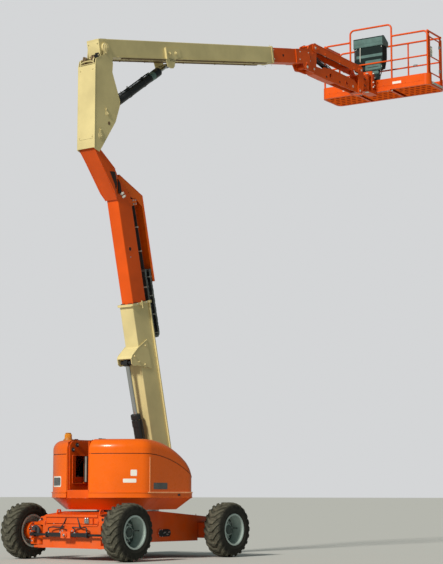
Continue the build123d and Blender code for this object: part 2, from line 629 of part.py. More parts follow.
def make_jib_upper():
    end = JIB_LENGTH
    side = [(0, -70), (0, 86), (end, 86), (end + 60, 50), (end + 60, -45), (end, -70)]
    arm = slab(side, -126, 126, JIB_UPPER, 14) + cross_bar((0, 0), 92, -126, 126, JIB_UPPER)
    arm -= slab([(-200, -100), (-200, 40), (-90, 74), (end + 90, 74), (end + 200, 40), (end + 200, -100)],
                -114, 114, JIB_UPPER)
    # the web stops clear of the knuckle and the head
    for low, high in ((-100, 130), (end - 130, end + 80)):
        arm -= slab([(low, -100), (low, 100), (high, 100), (high, -100)], -114, 114, JIB_UPPER)
    for x in (0, end):
        arm -= cross_bar((x, 0), 25 + PIN_GAP, -200, 200, JIB_UPPER)
    return arm


def jib_end(pin):
    a = radians(JIB_DROP)
    return pin[0] + JIB_LENGTH * cos(a), pin[1] - JIB_LENGTH * sin(a)


def make_jib_head():
    low, high = jib_end(JIB_LOWER_PIN), jib_end(JIB_UPPER_PIN)
    cheek = [(low[0] - 55, low[1] - 45), (low[0] - 60, low[1] + 50), (high[0] - 55, high[1] + 30),
             (high[0] - 20, high[1] + 60), (high[0] + 40, high[1] + 55), (6960, 9400), (6960, 9110),
             (low[0] + 60, low[1] - 50)]
    head = both(slab(cheek, 87, 107))
    head += cross_bar(low, 25, -90, 90)
    head += both(cross_bar(high, 25, 85, 130))
    head += block(6925, 6955, -90, 90, 9120, 9400)
    head += block(6950, ROTATOR_X, -68, 68, 9140, 9400)
    head += post(ROTATOR_X, 0, 85, 9125, 9415)
    head -= post(ROTATOR_X, 0, 32 + PIN_GAP, 9100, 9500)
    return head


def jib_ram():
    eye = world(JIB_LOWER, (JIB_CYL_REACH, JIB_CYL_RISE))
    return ram(JIB_CYL_BASE, eye, 44, 24, 60, 850, 470, 34, 70, 22, 116)


# ---- platform, built straight ahead and then turned by its parked yaw
def parked(shape, shift=0):
    return Pos(ROTATOR_X, 0, 0) * Rot(0, 0, PLATFORM_YAW) * Pos(-ROTATOR_X, shift, 0) * shape


def make_platform_support():
    x = ROTATOR_X
    lug = outline([(x - 70, -50), (x - 70, 50), (x - 40, 75), (x + 135, 95), (x + 135, -95), (x - 40, -75)])
    support = extrude(Pos(0, 0, 9422) * lug, 30) + extrude(Pos(0, 0, 9088) * lug, 30)
    support += post(x, 0, 32, 9100, 9440)
    support += block(x + 120, x + 140, -100, 100, 9088, 9540)
    support += block(x + 138, PLATFORM_X + 30, -100, 100, 9088, 9150)
    support += block(x + 138, PLATFORM_X - 24, -60, 60, 9145, 9540) - block(x + 150, PLATFORM_X - 36, -48, 48, 9100, 9528)
    # fork under the floor
    support += block(PLATFORM_X - 40, PLATFORM_X + 30, -420, 420, 9140, FLOOR_Z - FLOOR_DEPTH)
    for y in (-400, 360):
        support += block(PLATFORM_X, PLATFORM_X + 700, y, y + 40, 9156, FLOOR_Z - FLOOR_DEPTH)
    return support


def make_platform_floor():
    half, depth = PLATFORM_W / 2, PLATFORM_DEPTH
    bottom = FLOOR_Z - FLOOR_DEPTH
    middle = PLATFORM_X + depth / 2
    plate = Pos(middle, 0, bottom) * extrude(RectangleRounded(depth, PLATFORM_W, CORNER_R), FLOOR_DEPTH)
    plate -= Pos(middle, 0, bottom - 1) * extrude(RectangleRounded(depth - 80, PLATFORM_W - 80, CORNER_R - 40),
                                                  FLOOR_DEPTH - 5)
    # raised tread, inside the posts and the console's foot
    tread = RectangleRounded(TREAD_X[1] - TREAD_X[0], PLATFORM_W - 140, 60)
    plate += Pos(PLATFORM_X + (TREAD_X[0] + TREAD_X[1]) / 2, 0, FLOOR_Z) * extrude(tread, TREAD_RISE)
    for k in range(-5, 6):
        y = k * 200
        plate += block(PLATFORM_X + 30, PLATFORM_X + depth - 30, y - 5, y + 5, FLOOR_Z - 60, FLOOR_Z - 5)
    return plate


def make_toe_boards():
    depth = PLATFORM_DEPTH
    ring = RectangleRounded(depth, PLATFORM_W, CORNER_R) - RectangleRounded(depth - 8, PLATFORM_W - 8, CORNER_R - 4)
    boards = Pos(PLATFORM_X + depth / 2, 0, FLOOR_Z) * extrude(ring, TOE_TOP_Z - FLOOR_Z)
    gap = block(PLATFORM_X + 120, PLATFORM_X + depth - 90, -PLATFORM_W / 2 - 5, -PLATFORM_W / 2 + 30,
                FLOOR_Z - 1, TOE_TOP_Z + 1)
    return boards - gap


GATE_X = (120, 670)      # gate opening along the right end, from the near side


def make_platform_rails():
    x0, x1 = PLATFORM_X + RAIL_INSET, PLATFORM_X + PLATFORM_DEPTH - RAIL_INSET
    y1 = PLATFORM_W / 2 - RAIL_INSET
    foot = FLOOR_Z
    bend = 90
    top, mid = TOP_RAIL_Z, MID_RAIL_Z
    rails = pipe([(x0, -y1, foot), (x0, -y1, top), (x0, HOOP_Y[0], top)], RAIL_R, bend)
    rails += pipe([(x0, y1, foot), (x0, y1, top), (x0, HOOP_Y[1], top)], RAIL_R, bend)
    rails += pipe([(x0, HOOP_Y[0], foot), (x0, HOOP_Y[0], HOOP_Z), (x0, HOOP_Y[1], HOOP_Z), (x0, HOOP_Y[1], foot)],
                  RAIL_R, bend)
    rails += pipe([(x1, -y1, foot), (x1, -y1, top), (x1, y1, top), (x1, y1, foot)], RAIL_R, bend)
    for y in (-y1, y1):
        rails += bar((x0, y, top), (x1, y, top), RAIL_R)
    rails += bar((x0, -y1, mid), (x0, y1, mid), RAIL_R - 3)
    rails += bar((x1, -y1, mid), (x1, y1, mid), RAIL_R - 3)
    rails += bar((x0, y1, mid), (x1, y1, mid), RAIL_R - 3)
    for y in (-435, 450):
        rails += bar((x1, y, foot), (x1, y, top), RAIL_R - 3)
    # gate posts on the right end
    for dx in GATE_X:
        rails += bar((PLATFORM_X + dx, -y1, foot), (PLATFORM_X + dx, -y1, top), RAIL_R - 3)
    return rails


def make_gate():
    x_near, x_far = PLATFORM_X + GATE_X[0] + 36, PLATFORM_X + GATE_X[1] - 36
    y = RAIL_INSET - PLATFORM_W / 2
    gate = bar((x_far, y, 9440), (x_far, y, 10180), 13)
    gate += bar((x_near, y, 9440), (x_near, y, 10180), 13)
    for z in (9440, 9780, 10180):
        gate += bar((x_near, y, z), (x_far, y, z), 13)
    gate += block(x_near - 4, x_near + 60, y - 16, y + 22, 9800, 9960)
    return gate


def make_console():
    low, high = CONSOLE_Y
    x = PLATFORM_X + 72
    side = outline([(x, 9660), (x, 10190), (x + 210, 10190), (x + 210, 9900), (x + 120, 9660)], 14)
    lid_side = outline([(x - 12, 10160), (x - 12, 10345), (x + 60, 10360), (x + 250, 10250), (x + 250, 10160)], 14)
    box = extrude(SIDE.offset(-high) * side, high - low)
    box += extrude(SIDE.offset(-high - 12) * lid_side, high - low + 24)
    box -= extrude(SIDE.offset(5 - high) * offset(side, -5), high - low - 10)
    box -= extrude(SIDE.offset(-7 - high) * offset(lid_side, -5), high - low + 14)
    return box + block(x + 30, x + 70, -60, 100, FLOOR_Z, 9662)


# ---- everything, by node name
def make_all():
    nodes = wheel_parts()
    nodes["chassis_frame"] = make_chassis_frame()
    nodes["slew_ring"] = make_slew_ring()
    nodes["steer_axle"] = make_steer_axle()
    nodes["steer_barrels"] = make_steer_barrels()
    nodes["fixed_axle"] = make_fixed_axle()
    for name, side in (("left", 1), ("right", -1)):
        nodes["steer_rod_" + name] = make_steer_rod(side)
        nodes["knuckle_" + name] = make_knuckle(side)
    nodes["turntable_frame"] = make_turntable_frame()
    nodes["counterweight"] = make_counterweight()
    nodes["engine"] = make_engine()
    nodes["fuel_tank"], nodes["hydraulic_tank"] = make_tanks()
    nodes["beacon"] = make_beacon()
    nodes["hood_left"], nodes["hood_right"] = make_hoods()
    nodes["tower_base"] = make_tower_base()
    nodes["tower_fly"] = make_tower_fly()
    nodes["track_guard"] = make_track_guard()
    nodes["power_track"] = make_power_track()
    nodes["tower_barrel"], nodes["tower_rod"] = tower_ram()
    nodes["upright"] = make_upright()
    nodes["main_barrel"], nodes["main_rod"] = main_ram()
    nodes["main_boom"] = make_main_boom()
    nodes["main_fly"] = make_main_fly()
    nodes["jib_knuckle"] = make_jib_knuckle()
    nodes["jib_lower"] = make_jib_lower()
    nodes["jib_upper"] = make_jib_upper()
    nodes["jib_head"] = make_jib_head()
    nodes["jib_barrel"], nodes["jib_rod"] = jib_ram()
    nodes["platform_support"] = parked(make_platform_support())
    for name, maker in (("platform_floor", make_platform_floor), ("toe_boards", make_toe_boards),
                        ("platform_rails", make_platform_rails), ("gate", make_gate), ("console", make_console)):
        nodes[name] = parked(maker(), PLATFORM_SHIFT)
    return nodes


for node, shape in make_all().items():
    export_step(shape, f"parts/{node}.step")
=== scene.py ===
# %% [markdown]
# # An articulating boom lift, dressed for rendering
# The solid model already fixes every size and every joint: four wheels, a turntable under two hoods, a
# telescopic tower, a levelled upright, a telescopic main boom, a jib and a platform with rails. This lesson
# adds what makes the machine look real. It gives each solid a painted, cast or moulded finish, and it builds
# the pieces that are too fine for the solid model: tyre lugs, bolts, the cable carrier's links, latches,
# vents, hoses and labels.

# %% Load the frame
import bpy
import bmesh
from math import cos, sin, atan2, hypot, sqrt, pi, radians
from mathutils import Matrix, Vector, noise


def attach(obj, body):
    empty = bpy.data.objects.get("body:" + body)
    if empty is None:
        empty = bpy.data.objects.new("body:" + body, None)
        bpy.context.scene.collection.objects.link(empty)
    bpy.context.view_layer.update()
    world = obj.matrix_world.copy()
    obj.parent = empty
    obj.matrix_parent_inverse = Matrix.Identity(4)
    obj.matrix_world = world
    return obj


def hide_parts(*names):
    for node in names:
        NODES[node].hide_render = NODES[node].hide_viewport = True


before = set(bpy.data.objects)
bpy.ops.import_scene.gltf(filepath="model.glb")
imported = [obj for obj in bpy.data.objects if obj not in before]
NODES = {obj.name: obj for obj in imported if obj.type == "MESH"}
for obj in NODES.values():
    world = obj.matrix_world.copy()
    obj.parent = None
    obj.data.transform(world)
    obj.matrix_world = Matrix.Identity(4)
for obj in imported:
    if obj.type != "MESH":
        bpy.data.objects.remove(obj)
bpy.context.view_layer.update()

# %% [markdown]
# ## Camera, floor and light
# The machine is over ten metres tall, and it's seen from about 26 metres away with a long lens, from near the
# ground. A long lens keeps the booms' edges nearly parallel. The light is one wide, warm lamp like a low sun
# behind the counterweight, so the faces that look back are bright and the right side lies in soft shade, and
# a pale sky fills the shadows. The floor is pale too, and throws light up onto the bevelled pan and the
# platform's underside.

# %% Camera
camera_data = bpy.data.cameras.new("camera")
camera_data.lens = 101.1
camera_data.sensor_width = 36
camera_data.clip_end = 900
camera = bpy.data.objects.new("camera", camera_data)
camera.location = (-19.3169, -17.0161, 1.0216)
camera.rotation_euler = (radians(97.6), 0, radians(38.03 - 90))
bpy.context.scene.collection.objects.link(camera)
bpy.context.scene.camera = camera
bpy.context.scene.view_settings.view_transform = "Standard"
print("camera lens", camera_data.lens, "mm")


# %% Sky, sun and floor
def new_material(name):
    """An empty node material with its principled shader."""
    material = bpy.data.materials.new(name)
    material.use_nodes = True
    return material, material.node_tree.nodes["Principled BSDF"]


world = bpy.data.worlds.new("sky")
world.use_nodes = True
fill = world.node_tree.nodes["Background"]
fill.inputs["Color"].default_value = (0.76, 0.92, 0.9, 1)
fill.inputs["Strength"].default_value = 0.21
paper = world.node_tree.nodes.new("ShaderNodeBackground")
paper.inputs["Color"].default_value = (0.66, 0.67, 0.68, 1)
choice = world.node_tree.nodes.new("ShaderNodeMixShader")
seen = world.node_tree.nodes.new("ShaderNodeLightPath")
for start, end in ((seen.outputs["Is Camera Ray"], choice.inputs[0]), (fill.outputs[0], choice.inputs[1]),
                   (paper.outputs[0], choice.inputs[2]),
                   (choice.outputs[0], world.node_tree.nodes["World Output"].inputs["Surface"])):
    world.node_tree.links.new(start, end)
bpy.context.scene.world = world

sun_data = bpy.data.lights.new("sun", "SUN")
sun_data.energy = 3.5
sun_data.angle = radians(9)
sun_data.color = (1.0, 0.95, 0.86)
sun = bpy.data.objects.new("sun", sun_data)
sun.rotation_euler = Vector((0.82, 0.08, -0.55)).to_track_quat("-Z", "Y").to_euler()
bpy.context.scene.collection.objects.link(sun)

floor_mesh = bpy.data.meshes.new("floor")
far = 300
floor_mesh.from_pydata([(-far, -far, 0), (far, -far, 0), (far, far, 0), (-far, far, 0)], [], [(0, 1, 2, 3)])
floor = bpy.data.objects.new("floor", floor_mesh)
floor_paint, shader = new_material("pale_floor")
shader.inputs["Base Color"].default_value = (0.62, 0.62, 0.6, 1)
shader.inputs["Roughness"].default_value = 0.8
floor_mesh.materials.append(floor_paint)
bpy.context.scene.collection.objects.link(floor)

# %% [markdown]
# ## Painted steel
# Machine paint isn't one flat colour. It has a fine orange-peel ripple, it fades a little from place to
# place, it's thin and pale along edges, and road dust gathers on it near the ground. One function wires all
# of that, so each colour is one short call. Edges are found by comparing the true normal with one rounded by
# a Bevel node.

# %% The paint function
def wire(material, name, **settings):
    """Adds a shader node and sets its properties and sockets."""
    node = material.node_tree.nodes.new(name)
    for key, value in settings.items():
        if key.startswith("in_"):
            index = key[3:]
            node.inputs[int(index) if index.isdigit() else index.replace("_", " ")].default_value = value
        else:
            setattr(node, key, value)
    return node


def join(material, start, end):
    material.node_tree.links.new(start, end)


def own_place(material):
    """Coordinates in metres that stay with the piece when it moves."""
    return wire(material, "ShaderNodeTexCoord").outputs["Object"]


def cloud(material, place, scale, detail=3, rough=0.55):
    node = wire(material, "ShaderNodeTexNoise", in_Scale=scale, in_Detail=detail, in_Roughness=rough)
    join(material, place, node.inputs["Vector"])
    return node.outputs["Fac"]


def ramp(material, source, low, high, colour_low=(0, 0, 0, 1), colour_high=(1, 1, 1, 1)):
    node = wire(material, "ShaderNodeValToRGB")
    node.color_ramp.elements[0].position, node.color_ramp.elements[1].position = low, high
    node.color_ramp.elements[0].color, node.color_ramp.elements[1].color = colour_low, colour_high
    join(material, source, node.inputs["Fac"])
    return node.outputs["Color"]


def blend_colour(material, factor, first, second, mode="MIX"):
    """Mix of two colours, each a socket or a value; factor likewise."""
    node = wire(material, "ShaderNodeMix", data_type="RGBA", blend_type=mode)
    for value, index in ((factor, 0), (first, 6), (second, 7)):
        if hasattr(value, "links"):
            join(material, value, node.inputs[index])
        else:
            node.inputs[index].default_value = value
    return node.outputs[2]


def times(material, first, second, operation="MULTIPLY"):
    node = wire(material, "ShaderNodeMath", operation=operation, use_clamp=True)
    for value, index in ((first, 0), (second, 1)):
        if hasattr(value, "links"):
            join(material, value, node.inputs[index])
        else:
            node.inputs[index].default_value = value
    return node.outputs[0]


def edge_mask(material, radius):
    """1 along the edges of a solid, 0 on its flats."""
    rounded = wire(material, "ShaderNodeBevel", samples=4, in_Radius=radius)
    true = wire(material, "ShaderNodeNewGeometry")
    dot = wire(material, "ShaderNodeVectorMath", operation="DOT_PRODUCT")
    join(material, rounded.outputs[0], dot.inputs[0])
    join(material, true.outputs["Normal"], dot.inputs[1])
    return ramp(material, dot.outputs["Value"], 0.9, 0.995, (1, 1, 1, 1), (0, 0, 0, 1))


DUST = (0.33, 0.27, 0.2, 1)


def paint(name, colour, rough=0.36, coat=0.15, dust=0, dust_top=1.0, wear=0.35, chip=(0.55, 0.5, 0.44, 1),
          fade=0.1, edge=0.004):
    """Sprayed enamel: faded patches, orange peel, worn edges and dust up to dust_top metres."""
    material, shader = new_material(name)
    place = own_place(material)
    pale = [min(1, c * (1 + fade)) for c in colour[:3]] + [1]
    dark = [c * (1 - fade) for c in colour[:3]] + [1]
    tone = ramp(material, cloud(material, place, 1.7), 0.35, 0.65, dark, pale)
    if wear:
        speckle = ramp(material, cloud(material, place, 38, 5), 0.5, 0.64)
        worn = times(material, times(material, edge_mask(material, edge), speckle), wear)
        tone = blend_colour(material, worn, tone, chip)
    if dust:
        height = wire(material, "ShaderNodeSeparateXYZ")
        join(material, place, height.inputs[0])
        low = wire(material, "ShaderNodeMapRange", in_1=0, in_2=dust_top, in_3=1.0, in_4=0)
        join(material, height.outputs["Z"], low.inputs[0])
        patchy = ramp(material, cloud(material, place, 6, 6, 0.65), 0.3, 0.75)
        tone = blend_colour(material, times(material, times(material, low.outputs[0], patchy), dust), tone,
                            DUST)
    join(material, tone, shader.inputs["Base Color"])
    gloss = ramp(material, cloud(material, place, 9, 4), 0.3, 0.7, [rough - 0.06] * 3 + [1],
                 [rough + 0.1] * 3 + [1])
    join(material, gloss, shader.inputs["Roughness"])
    shader.inputs["Coat Weight"].default_value = coat
    shader.inputs["Coat Roughness"].default_value = 0.15
    shader.inputs["Specular IOR Level"].default_value = 0.22
    rounded = wire(material, "ShaderNodeBevel", samples=4, in_Radius=edge)
    peel = wire(material, "ShaderNodeBump", in_Strength=0.05, in_Distance=0.002)
    join(material, cloud(material, place, 260, 2), peel.inputs["Height"])
    join(material, rounded.outputs[0], peel.inputs["Normal"])
    join(material, peel.outputs["Normal"], shader.inputs["Normal"])
    return material


orange = paint("orange_enamel", (0.72, 0.088, 0.003, 1), dust=0.25, dust_top=0.9)
orange_boom = paint("orange_boom_enamel", (0.72, 0.088, 0.003, 1))
cream = paint("cream_enamel", (0.68, 0.575, 0.285, 1), chip=(0.45, 0.36, 0.26, 1))
# the rim paint in two copies: a dark one, painted shade in the dish, and a light one, a painted highlight on
# the rims and their lips
rim_shade = paint("rim_enamel_painted_shade", (0.05, 0.078, 0.072, 1), rough=0.4, dust=0.12, dust_top=0.9, coat=0.1)
lit_rim_enamel = paint("rim_enamel_painted_highlight", (0.44, 0.54, 0.505, 1), rough=0.24, dust=0.12, dust_top=0.9, coat=0.6)
black = paint("black_enamel", (0.018, 0.019, 0.021, 1), rough=0.4, coat=0.2, chip=(0.25, 0.25, 0.25, 1),
              fade=0.3)
print("paints ready")

# %% [markdown]
# ## Moulded hoods, castings, bright rods and plastics
# The hoods are gel-coated mouldings: smoother and glossier than the steel, with no chipped edges. The
# counterweight is cast iron under thick paint, so its bump is coarser. Cylinder rods are hard chrome, a metal
# with almost no roughness. The tanks, the cable carrier and the console are moulded plastics with a fine
# grain.

# %% Other finishes
gel_coat = paint("gel_coat_orange", (0.82, 0.13, 0.003, 1), rough=0.27, coat=0.3, wear=0, fade=0.05,
                 edge=0.006)
casting = paint("painted_casting", (0.72, 0.088, 0.003, 1), rough=0.4, coat=0.2, wear=0.4, edge=0.012)


def grained(name, colour, rough=0.55, metallic=0, grain=400, depth=0.2, spread=0.15, gloss=0.4):
    """Moulded plastic, raw casting or bare metal with a fine grain."""
    material, shader = new_material(name)
    place = own_place(material)
    dark = [c * (1 - spread) for c in colour[:3]] + [1]
    pale = [min(1, c * (1 + spread)) for c in colour[:3]] + [1]
    join(material, ramp(material, cloud(material, place, 7, 4), 0.3, 0.7, dark, pale),
         shader.inputs["Base Color"])
    join(material, ramp(material, cloud(material, place, 25, 4), 0.3, 0.7, [rough - 0.08] * 3 + [1],
                        [rough + 0.1] * 3 + [1]), shader.inputs["Roughness"])
    shader.inputs["Metallic"].default_value = metallic
    shader.inputs["Specular IOR Level"].default_value = gloss
    bump = wire(material, "ShaderNodeBump", in_Strength=depth, in_Distance=0.001)
    join(material, cloud(material, place, grain, 3), bump.inputs["Height"])
    join(material, bump.outputs["Normal"], shader.inputs["Normal"])
    return material


chrome = grained("hard_chrome", (0.46, 0.47, 0.47, 1), rough=0.12, metallic=1.0, grain=90, depth=0.03,
                 spread=0.04)
zinc = grained("zinc_plate", (0.55, 0.56, 0.56, 1), rough=0.35, metallic=1.0, grain=120, depth=0.1,
               spread=0.2)
black_plastic = grained("black_plastic", (0.022, 0.023, 0.025, 1), rough=0.5)
console_plastic = grained("console_plastic", (0.007, 0.016, 0.016, 1), rough=0.55, gloss=0.12)
console_lid = grained("console_lid", (0.085, 0.16, 0.15, 1), rough=0.4)
iron = grained("engine_iron", (0.05, 0.05, 0.055, 1), rough=0.6, grain=60, depth=0.5)
hose_rubber = grained("hose_rubber", (0.018, 0.018, 0.019, 1), rough=0.45, grain=700, depth=0.1)
label_white = grained("label_white", (0.8, 0.78, 0.72, 1), rough=0.3, spread=0.03, depth=0)
label_dark = grained("label_dark", (0.1, 0.11, 0.11, 1), rough=0.3, spread=0.25, depth=0)
seam_dark = grained("seam_dark", (0.1, 0.022, 0.008, 1), rough=0.6)
# near-black for openings and holes: painted shade
seam_shadow = grained("painted_shade_black", (0.03, 0.014, 0.01, 1), rough=0.7)
carrier_steel = grained("carrier_steel", (0.16, 0.17, 0.16, 1), rough=0.4, metallic=0.6, spread=0.3)
pipe_pale = grained("pale_zinc", (0.62, 0.62, 0.56, 1), rough=0.35, metallic=0.3)
plug_brown = grained("plug_brown", (0.2, 0.13, 0.065, 1), rough=0.6)
slot_shadow = grained("slot_shadow", (0.22, 0.018, 0.004, 1), rough=0.9, gloss=0.03)
# the platform orange made lighter: painted light on the floor
lit_floor_sheet = grained("floor_orange_painted_light", (0.96, 0.13, 0.008, 1), rough=0.9, gloss=0.03, depth=0.05,
                      spread=0.03)
stop_red = grained("stop_red", (0.55, 0.01, 0.008, 1), rough=0.3)
teal_head = grained("teal_cylinder_head", (0.1, 0.17, 0.15, 1), rough=0.35)
pipe_grey = grained("pipe_grey", (0.3, 0.27, 0.24, 1), rough=0.4)
# a paler copy of the gel coat: a painted highlight along rolled edges
highlight_gel_bead = grained("rolled_gel_painted_highlight", (0.95, 0.42, 0.18, 1), rough=0.25, spread=0.08, depth=0.05)
amber_foot = grained("beacon_foot", (0.42, 0.17, 0.03, 1), rough=0.4, spread=0.1)

amber, shader = new_material("amber_lens")
shader.inputs["Base Color"].default_value = (0.95, 0.36, 0.02, 1)
shader.inputs["Roughness"].default_value = 0.12
shader.inputs["Transmission Weight"].default_value = 0.35
shader.inputs["Coat Weight"].default_value = 0.4

tyre_rubber, shader = new_material("tyre_rubber_dust_and_painted_light")
place = own_place(tyre_rubber)
spread = wire(tyre_rubber, "ShaderNodeVectorMath", operation="MULTIPLY", in_1=(1, 0, 1))
join(tyre_rubber, place, spread.inputs[0])
reach = wire(tyre_rubber, "ShaderNodeVectorMath", operation="LENGTH")
join(tyre_rubber, spread.outputs[0], reach.inputs[0])
# the tread is paler than the sidewalls: partly dust, partly painted light on the tread and painted shade on
# the sidewalls
lit_dusty_tread = ramp(tyre_rubber, reach.outputs["Value"], 0.385, 0.425, (0.1, 0.1, 0.1, 1), (1, 1, 1, 1))
patches = ramp(tyre_rubber, cloud(tyre_rubber, place, 14, 6, 0.7), 0.25, 0.68)
tread_dust_and_light = blend_colour(tyre_rubber, times(tyre_rubber, lit_dusty_tread, patches), (0.013, 0.013, 0.011, 1),
                     (0.135, 0.13, 0.095, 1))
join(tyre_rubber, tread_dust_and_light, shader.inputs["Base Color"])
shader.inputs["Roughness"].default_value = 0.85
shader.inputs["Specular IOR Level"].default_value = 0.2
bump = wire(tyre_rubber, "ShaderNodeBump", in_Strength=0.35, in_Distance=0.003)
join(tyre_rubber, cloud(tyre_rubber, place, 120, 4), bump.inputs["Height"])
join(tyre_rubber, bump.outputs["Normal"], shader.inputs["Normal"])

# %% Finishes for the solid nodes
FINISHES = {
    orange: ["chassis_frame", "steer_axle", "fixed_axle", "turntable_frame"],
    orange_boom: ["tower_fly", "main_fly", "jib_knuckle", "jib_lower", "jib_upper", "jib_head",
                  "platform_support", "platform_floor", "platform_rails", "gate", "toe_boards"],
    cream: ["tower_base", "upright", "main_boom"],
    lit_rim_enamel: ["rim_front_left", "rim_front_right", "rim_rear_left", "rim_rear_right"],
    black: ["steer_barrels", "steer_rod_left", "steer_rod_right", "tower_barrel", "main_barrel",
            "jib_barrel"],
    gel_coat: ["hood_left", "hood_right", "track_guard"],
    casting: ["counterweight", "knuckle_left", "knuckle_right"],
    chrome: ["tower_rod", "main_rod", "jib_rod"],
    black_plastic: ["fuel_tank", "hydraulic_tank", "power_track"],
    tyre_rubber: ["tyre_front_left", "tyre_front_right", "tyre_rear_left", "tyre_rear_right"],
    console_plastic: ["console"], iron: ["engine"], amber: ["beacon"], zinc: ["slew_ring"],
}
for finish, names in FINISHES.items():
    for name in names:
        mesh = NODES[name].data
        mesh.materials.clear()
        mesh.materials.append(finish)
        mesh.shade_smooth()
        mesh.set_sharp_from_angle(angle=radians(32))
print("nodes with a finish:", sum(len(n) for n in FINISHES.values()))

# %% [markdown]
# ## Small tools for building meshes
# Most pieces on a machine are plates, turned parts, tubes and bolts, repeated many times. Each of these could
# be a separate object with modifiers, but hundreds of bolts are lighter as one mesh. So the helpers below add
# shapes to an open bmesh, always through a placement matrix, and one more call turns the bmesh into a
# finished piece.

# %% Placement frames
def placed(x=0, y=0, z=0, lean=0):
    """Frame whose first axis rises by lean degrees; the second points left and the third up."""
    return Matrix.Translation((x, y, z)) @ Matrix.Rotation(-radians(lean), 4, "Y")


def pinned(pin, lean):
    """Frame on a pin's centre in the middle plane."""
    return placed(pin[0], 0, pin[1], lean)


def aimed(at, direction):
    """Frame at a point with its third axis along a direction."""
    return Matrix.Translation(at) @ Vector(direction).to_track_quat("Z", "Y").to_matrix().to_4x4()


WORLD = Matrix()
RIGHT, LEFT, BACK, AHEAD, UP, DOWN = (0, -1, 0), (0, 1, 0), (-1, 0, 0), (1, 0, 0), (0, 0, 1), (0, 0, -1)
print("frames ready")


# %% Shapes
def add_box(form, low, high, place=WORLD, edge=0.003):
    """Box between two corners with rounded edges."""
    size = [h - l for l, h in zip(low, high)]
    middle = [(l + h) / 2 for l, h in zip(low, high)]
    made = bmesh.ops.create_cube(form, size=1)["verts"]
    bmesh.ops.transform(form, verts=made, matrix=place @ Matrix.Translation(middle)
                        @ Matrix.Diagonal((*size, 1)))
    if edge:
        around = list({e for v in made for e in v.link_edges})
        bmesh.ops.bevel(form, geom=around, offset=min(edge, min(size) * 0.3), segments=2, affect="EDGES")


def add_turned(form, section, place=WORLD, steps=24, ring=False):
    """Turned part from (radius, height) points; a ring section closes on itself."""
    rows = []
    for radius, height in section:
        if radius < 1e-6:
            rows.append([form.verts.new(place @ Vector((0, 0, height)))])
        else:
            rows.append([form.verts.new(place @ Vector((radius * cos(t), radius * sin(t), height)))
                         for t in (2 * pi * k / steps for k in range(steps))])
    pairs = list(zip(rows, rows[1:])) + ([(rows[-1], rows[0])] if ring else [])
    for low, high in pairs:
        for k in range(steps):
            n = (k + 1) % steps
            if len(low) == 1:
                form.faces.new((low[0], high[n], high[k]))
            elif len(high) == 1:
                form.faces.new((low[k], low[n], high[0]))
            else:
                form.faces.new((low[k], low[n], high[n], high[k]))


def add_plate(form, outline, low, high, place=WORLD, edge=0):
    """Plate whose outline lies in the frame's first and third axes, between two values of the second."""
    near = [form.verts.new(place @ Vector((a, low, b))) for a, b in outline]
    far = [form.verts.new(place @ Vector((a, high, b))) for a, b in outline]
    count = len(outline)
    form.faces.new(near)
    form.faces.new(far[::-1])
    for k in range(count):
        n = (k + 1) % count
        form.faces.new((near[k], far[k], far[n], near[n]))
    if edge:
        rims = [e for v in near + far for e in v.link_edges]
        bmesh.ops.bevel(form, geom=list(set(rims)), offset=edge, segments=2, affect="EDGES")


def smooth_run(points, steps=6):
    """Points of a smooth line through the given points."""
    ends = [points[0]] + list(points) + [points[-1]]
    run = []
    for a, b, c, d in zip(ends, ends[1:], ends[2:], ends[3:]):
        a, b, c, d = (Vector(p) for p in (a, b, c, d))
        for k in range(steps):
            t = k / steps
            run.append(0.5 * (2 * b + (c - a) * t + (2 * a - 5 * b + 4 * c - d) * t ** 2
                              + (3 * b - a - 3 * c + d) * t ** 3))
    return run + [Vector(points[-1])]


def add_tube(form, run, radius, place=WORLD, sides=10, ripple=0):
    """Round tube along a run of points, with capped ends; ripple roughens it as a weld bead."""
    run = [place @ Vector(p) for p in run]
    rows, side = [], None
    for k, point in enumerate(run):
        ahead = (run[min(k + 1, len(run) - 1)] - run[max(k - 1, 0)]).normalized()
        if side is None:
            side = ahead.orthogonal().normalized()
        side = (side - ahead * side.dot(ahead)).normalized()
        other = ahead.cross(side)
        r = radius * (1 + ripple * sin(k * 2.4))
        rows.append([form.verts.new(point + (side * cos(t) + other * sin(t)) * r)
                     for t in (2 * pi * j / sides for j in range(sides))])
    for low, high in zip(rows, rows[1:]):
        for j in range(sides):
            n = (j + 1) % sides
            form.faces.new((low[j], low[n], high[n], high[j]))
    form.faces.new(rows[0][::-1])
    form.faces.new(rows[-1])


def straight(start, end, count=2):
    """Evenly spaced points from start to end."""
    start, end = Vector(start), Vector(end)
    return [start.lerp(end, k / (count - 1)) for k in range(count)]


def add_weld(form, corners, place=WORLD, radius=0.005):
    """Weld bead along straight runs between corners."""
    for start, end in zip(corners, corners[1:]):
        length = (Vector(end) - Vector(start)).length
        add_tube(form, straight(start, end, max(3, int(length / 0.02))), radius, place, sides=6, ripple=0.18)


def add_bolt(form, at, direction, size=0.016, place=WORLD):
    """Hexagon head on a washer; size is half the width across the corners."""
    base = place @ aimed(at, direction)
    thick = size * 0.22
    add_turned(form, [(0, -0.002), (size * 1.35, -0.002), (size * 1.35, thick * 0.7), (size * 1.25, thick),
                      (0, thick)], base, 16)
    top = thick + size * 0.95
    add_turned(form, [(0, thick), (size, thick), (size, top - size * 0.15), (size * 0.82, top), (0, top)],
               base, 6)


def blanks(count):
    """Empty bmeshes, one for each finish of a group."""
    return [bmesh.new() for _ in range(count)]


def sided(x, y, z, side):
    """Frame on the right (-1) or left (1) of the machine, with its third axis outwards."""
    return aimed((x, side * y, z), (0, side, 0))


def capped(*rim):
    """Section of a solid turned part: a flat foot, its rim from the foot up, and a flat top."""
    return [(0, 0), (rim[0][0], 0), *rim, (0, rim[-1][1])]


def collar(inner, *rim):
    """Section of a ring with a straight bore, for the same kind of rim."""
    return [(inner, 0), (rim[0][0], 0), *rim, (inner, rim[-1][1])]


def add_disc(form, radius, thick, place, steps=24):
    add_turned(form, capped((radius, thick)), place, steps)


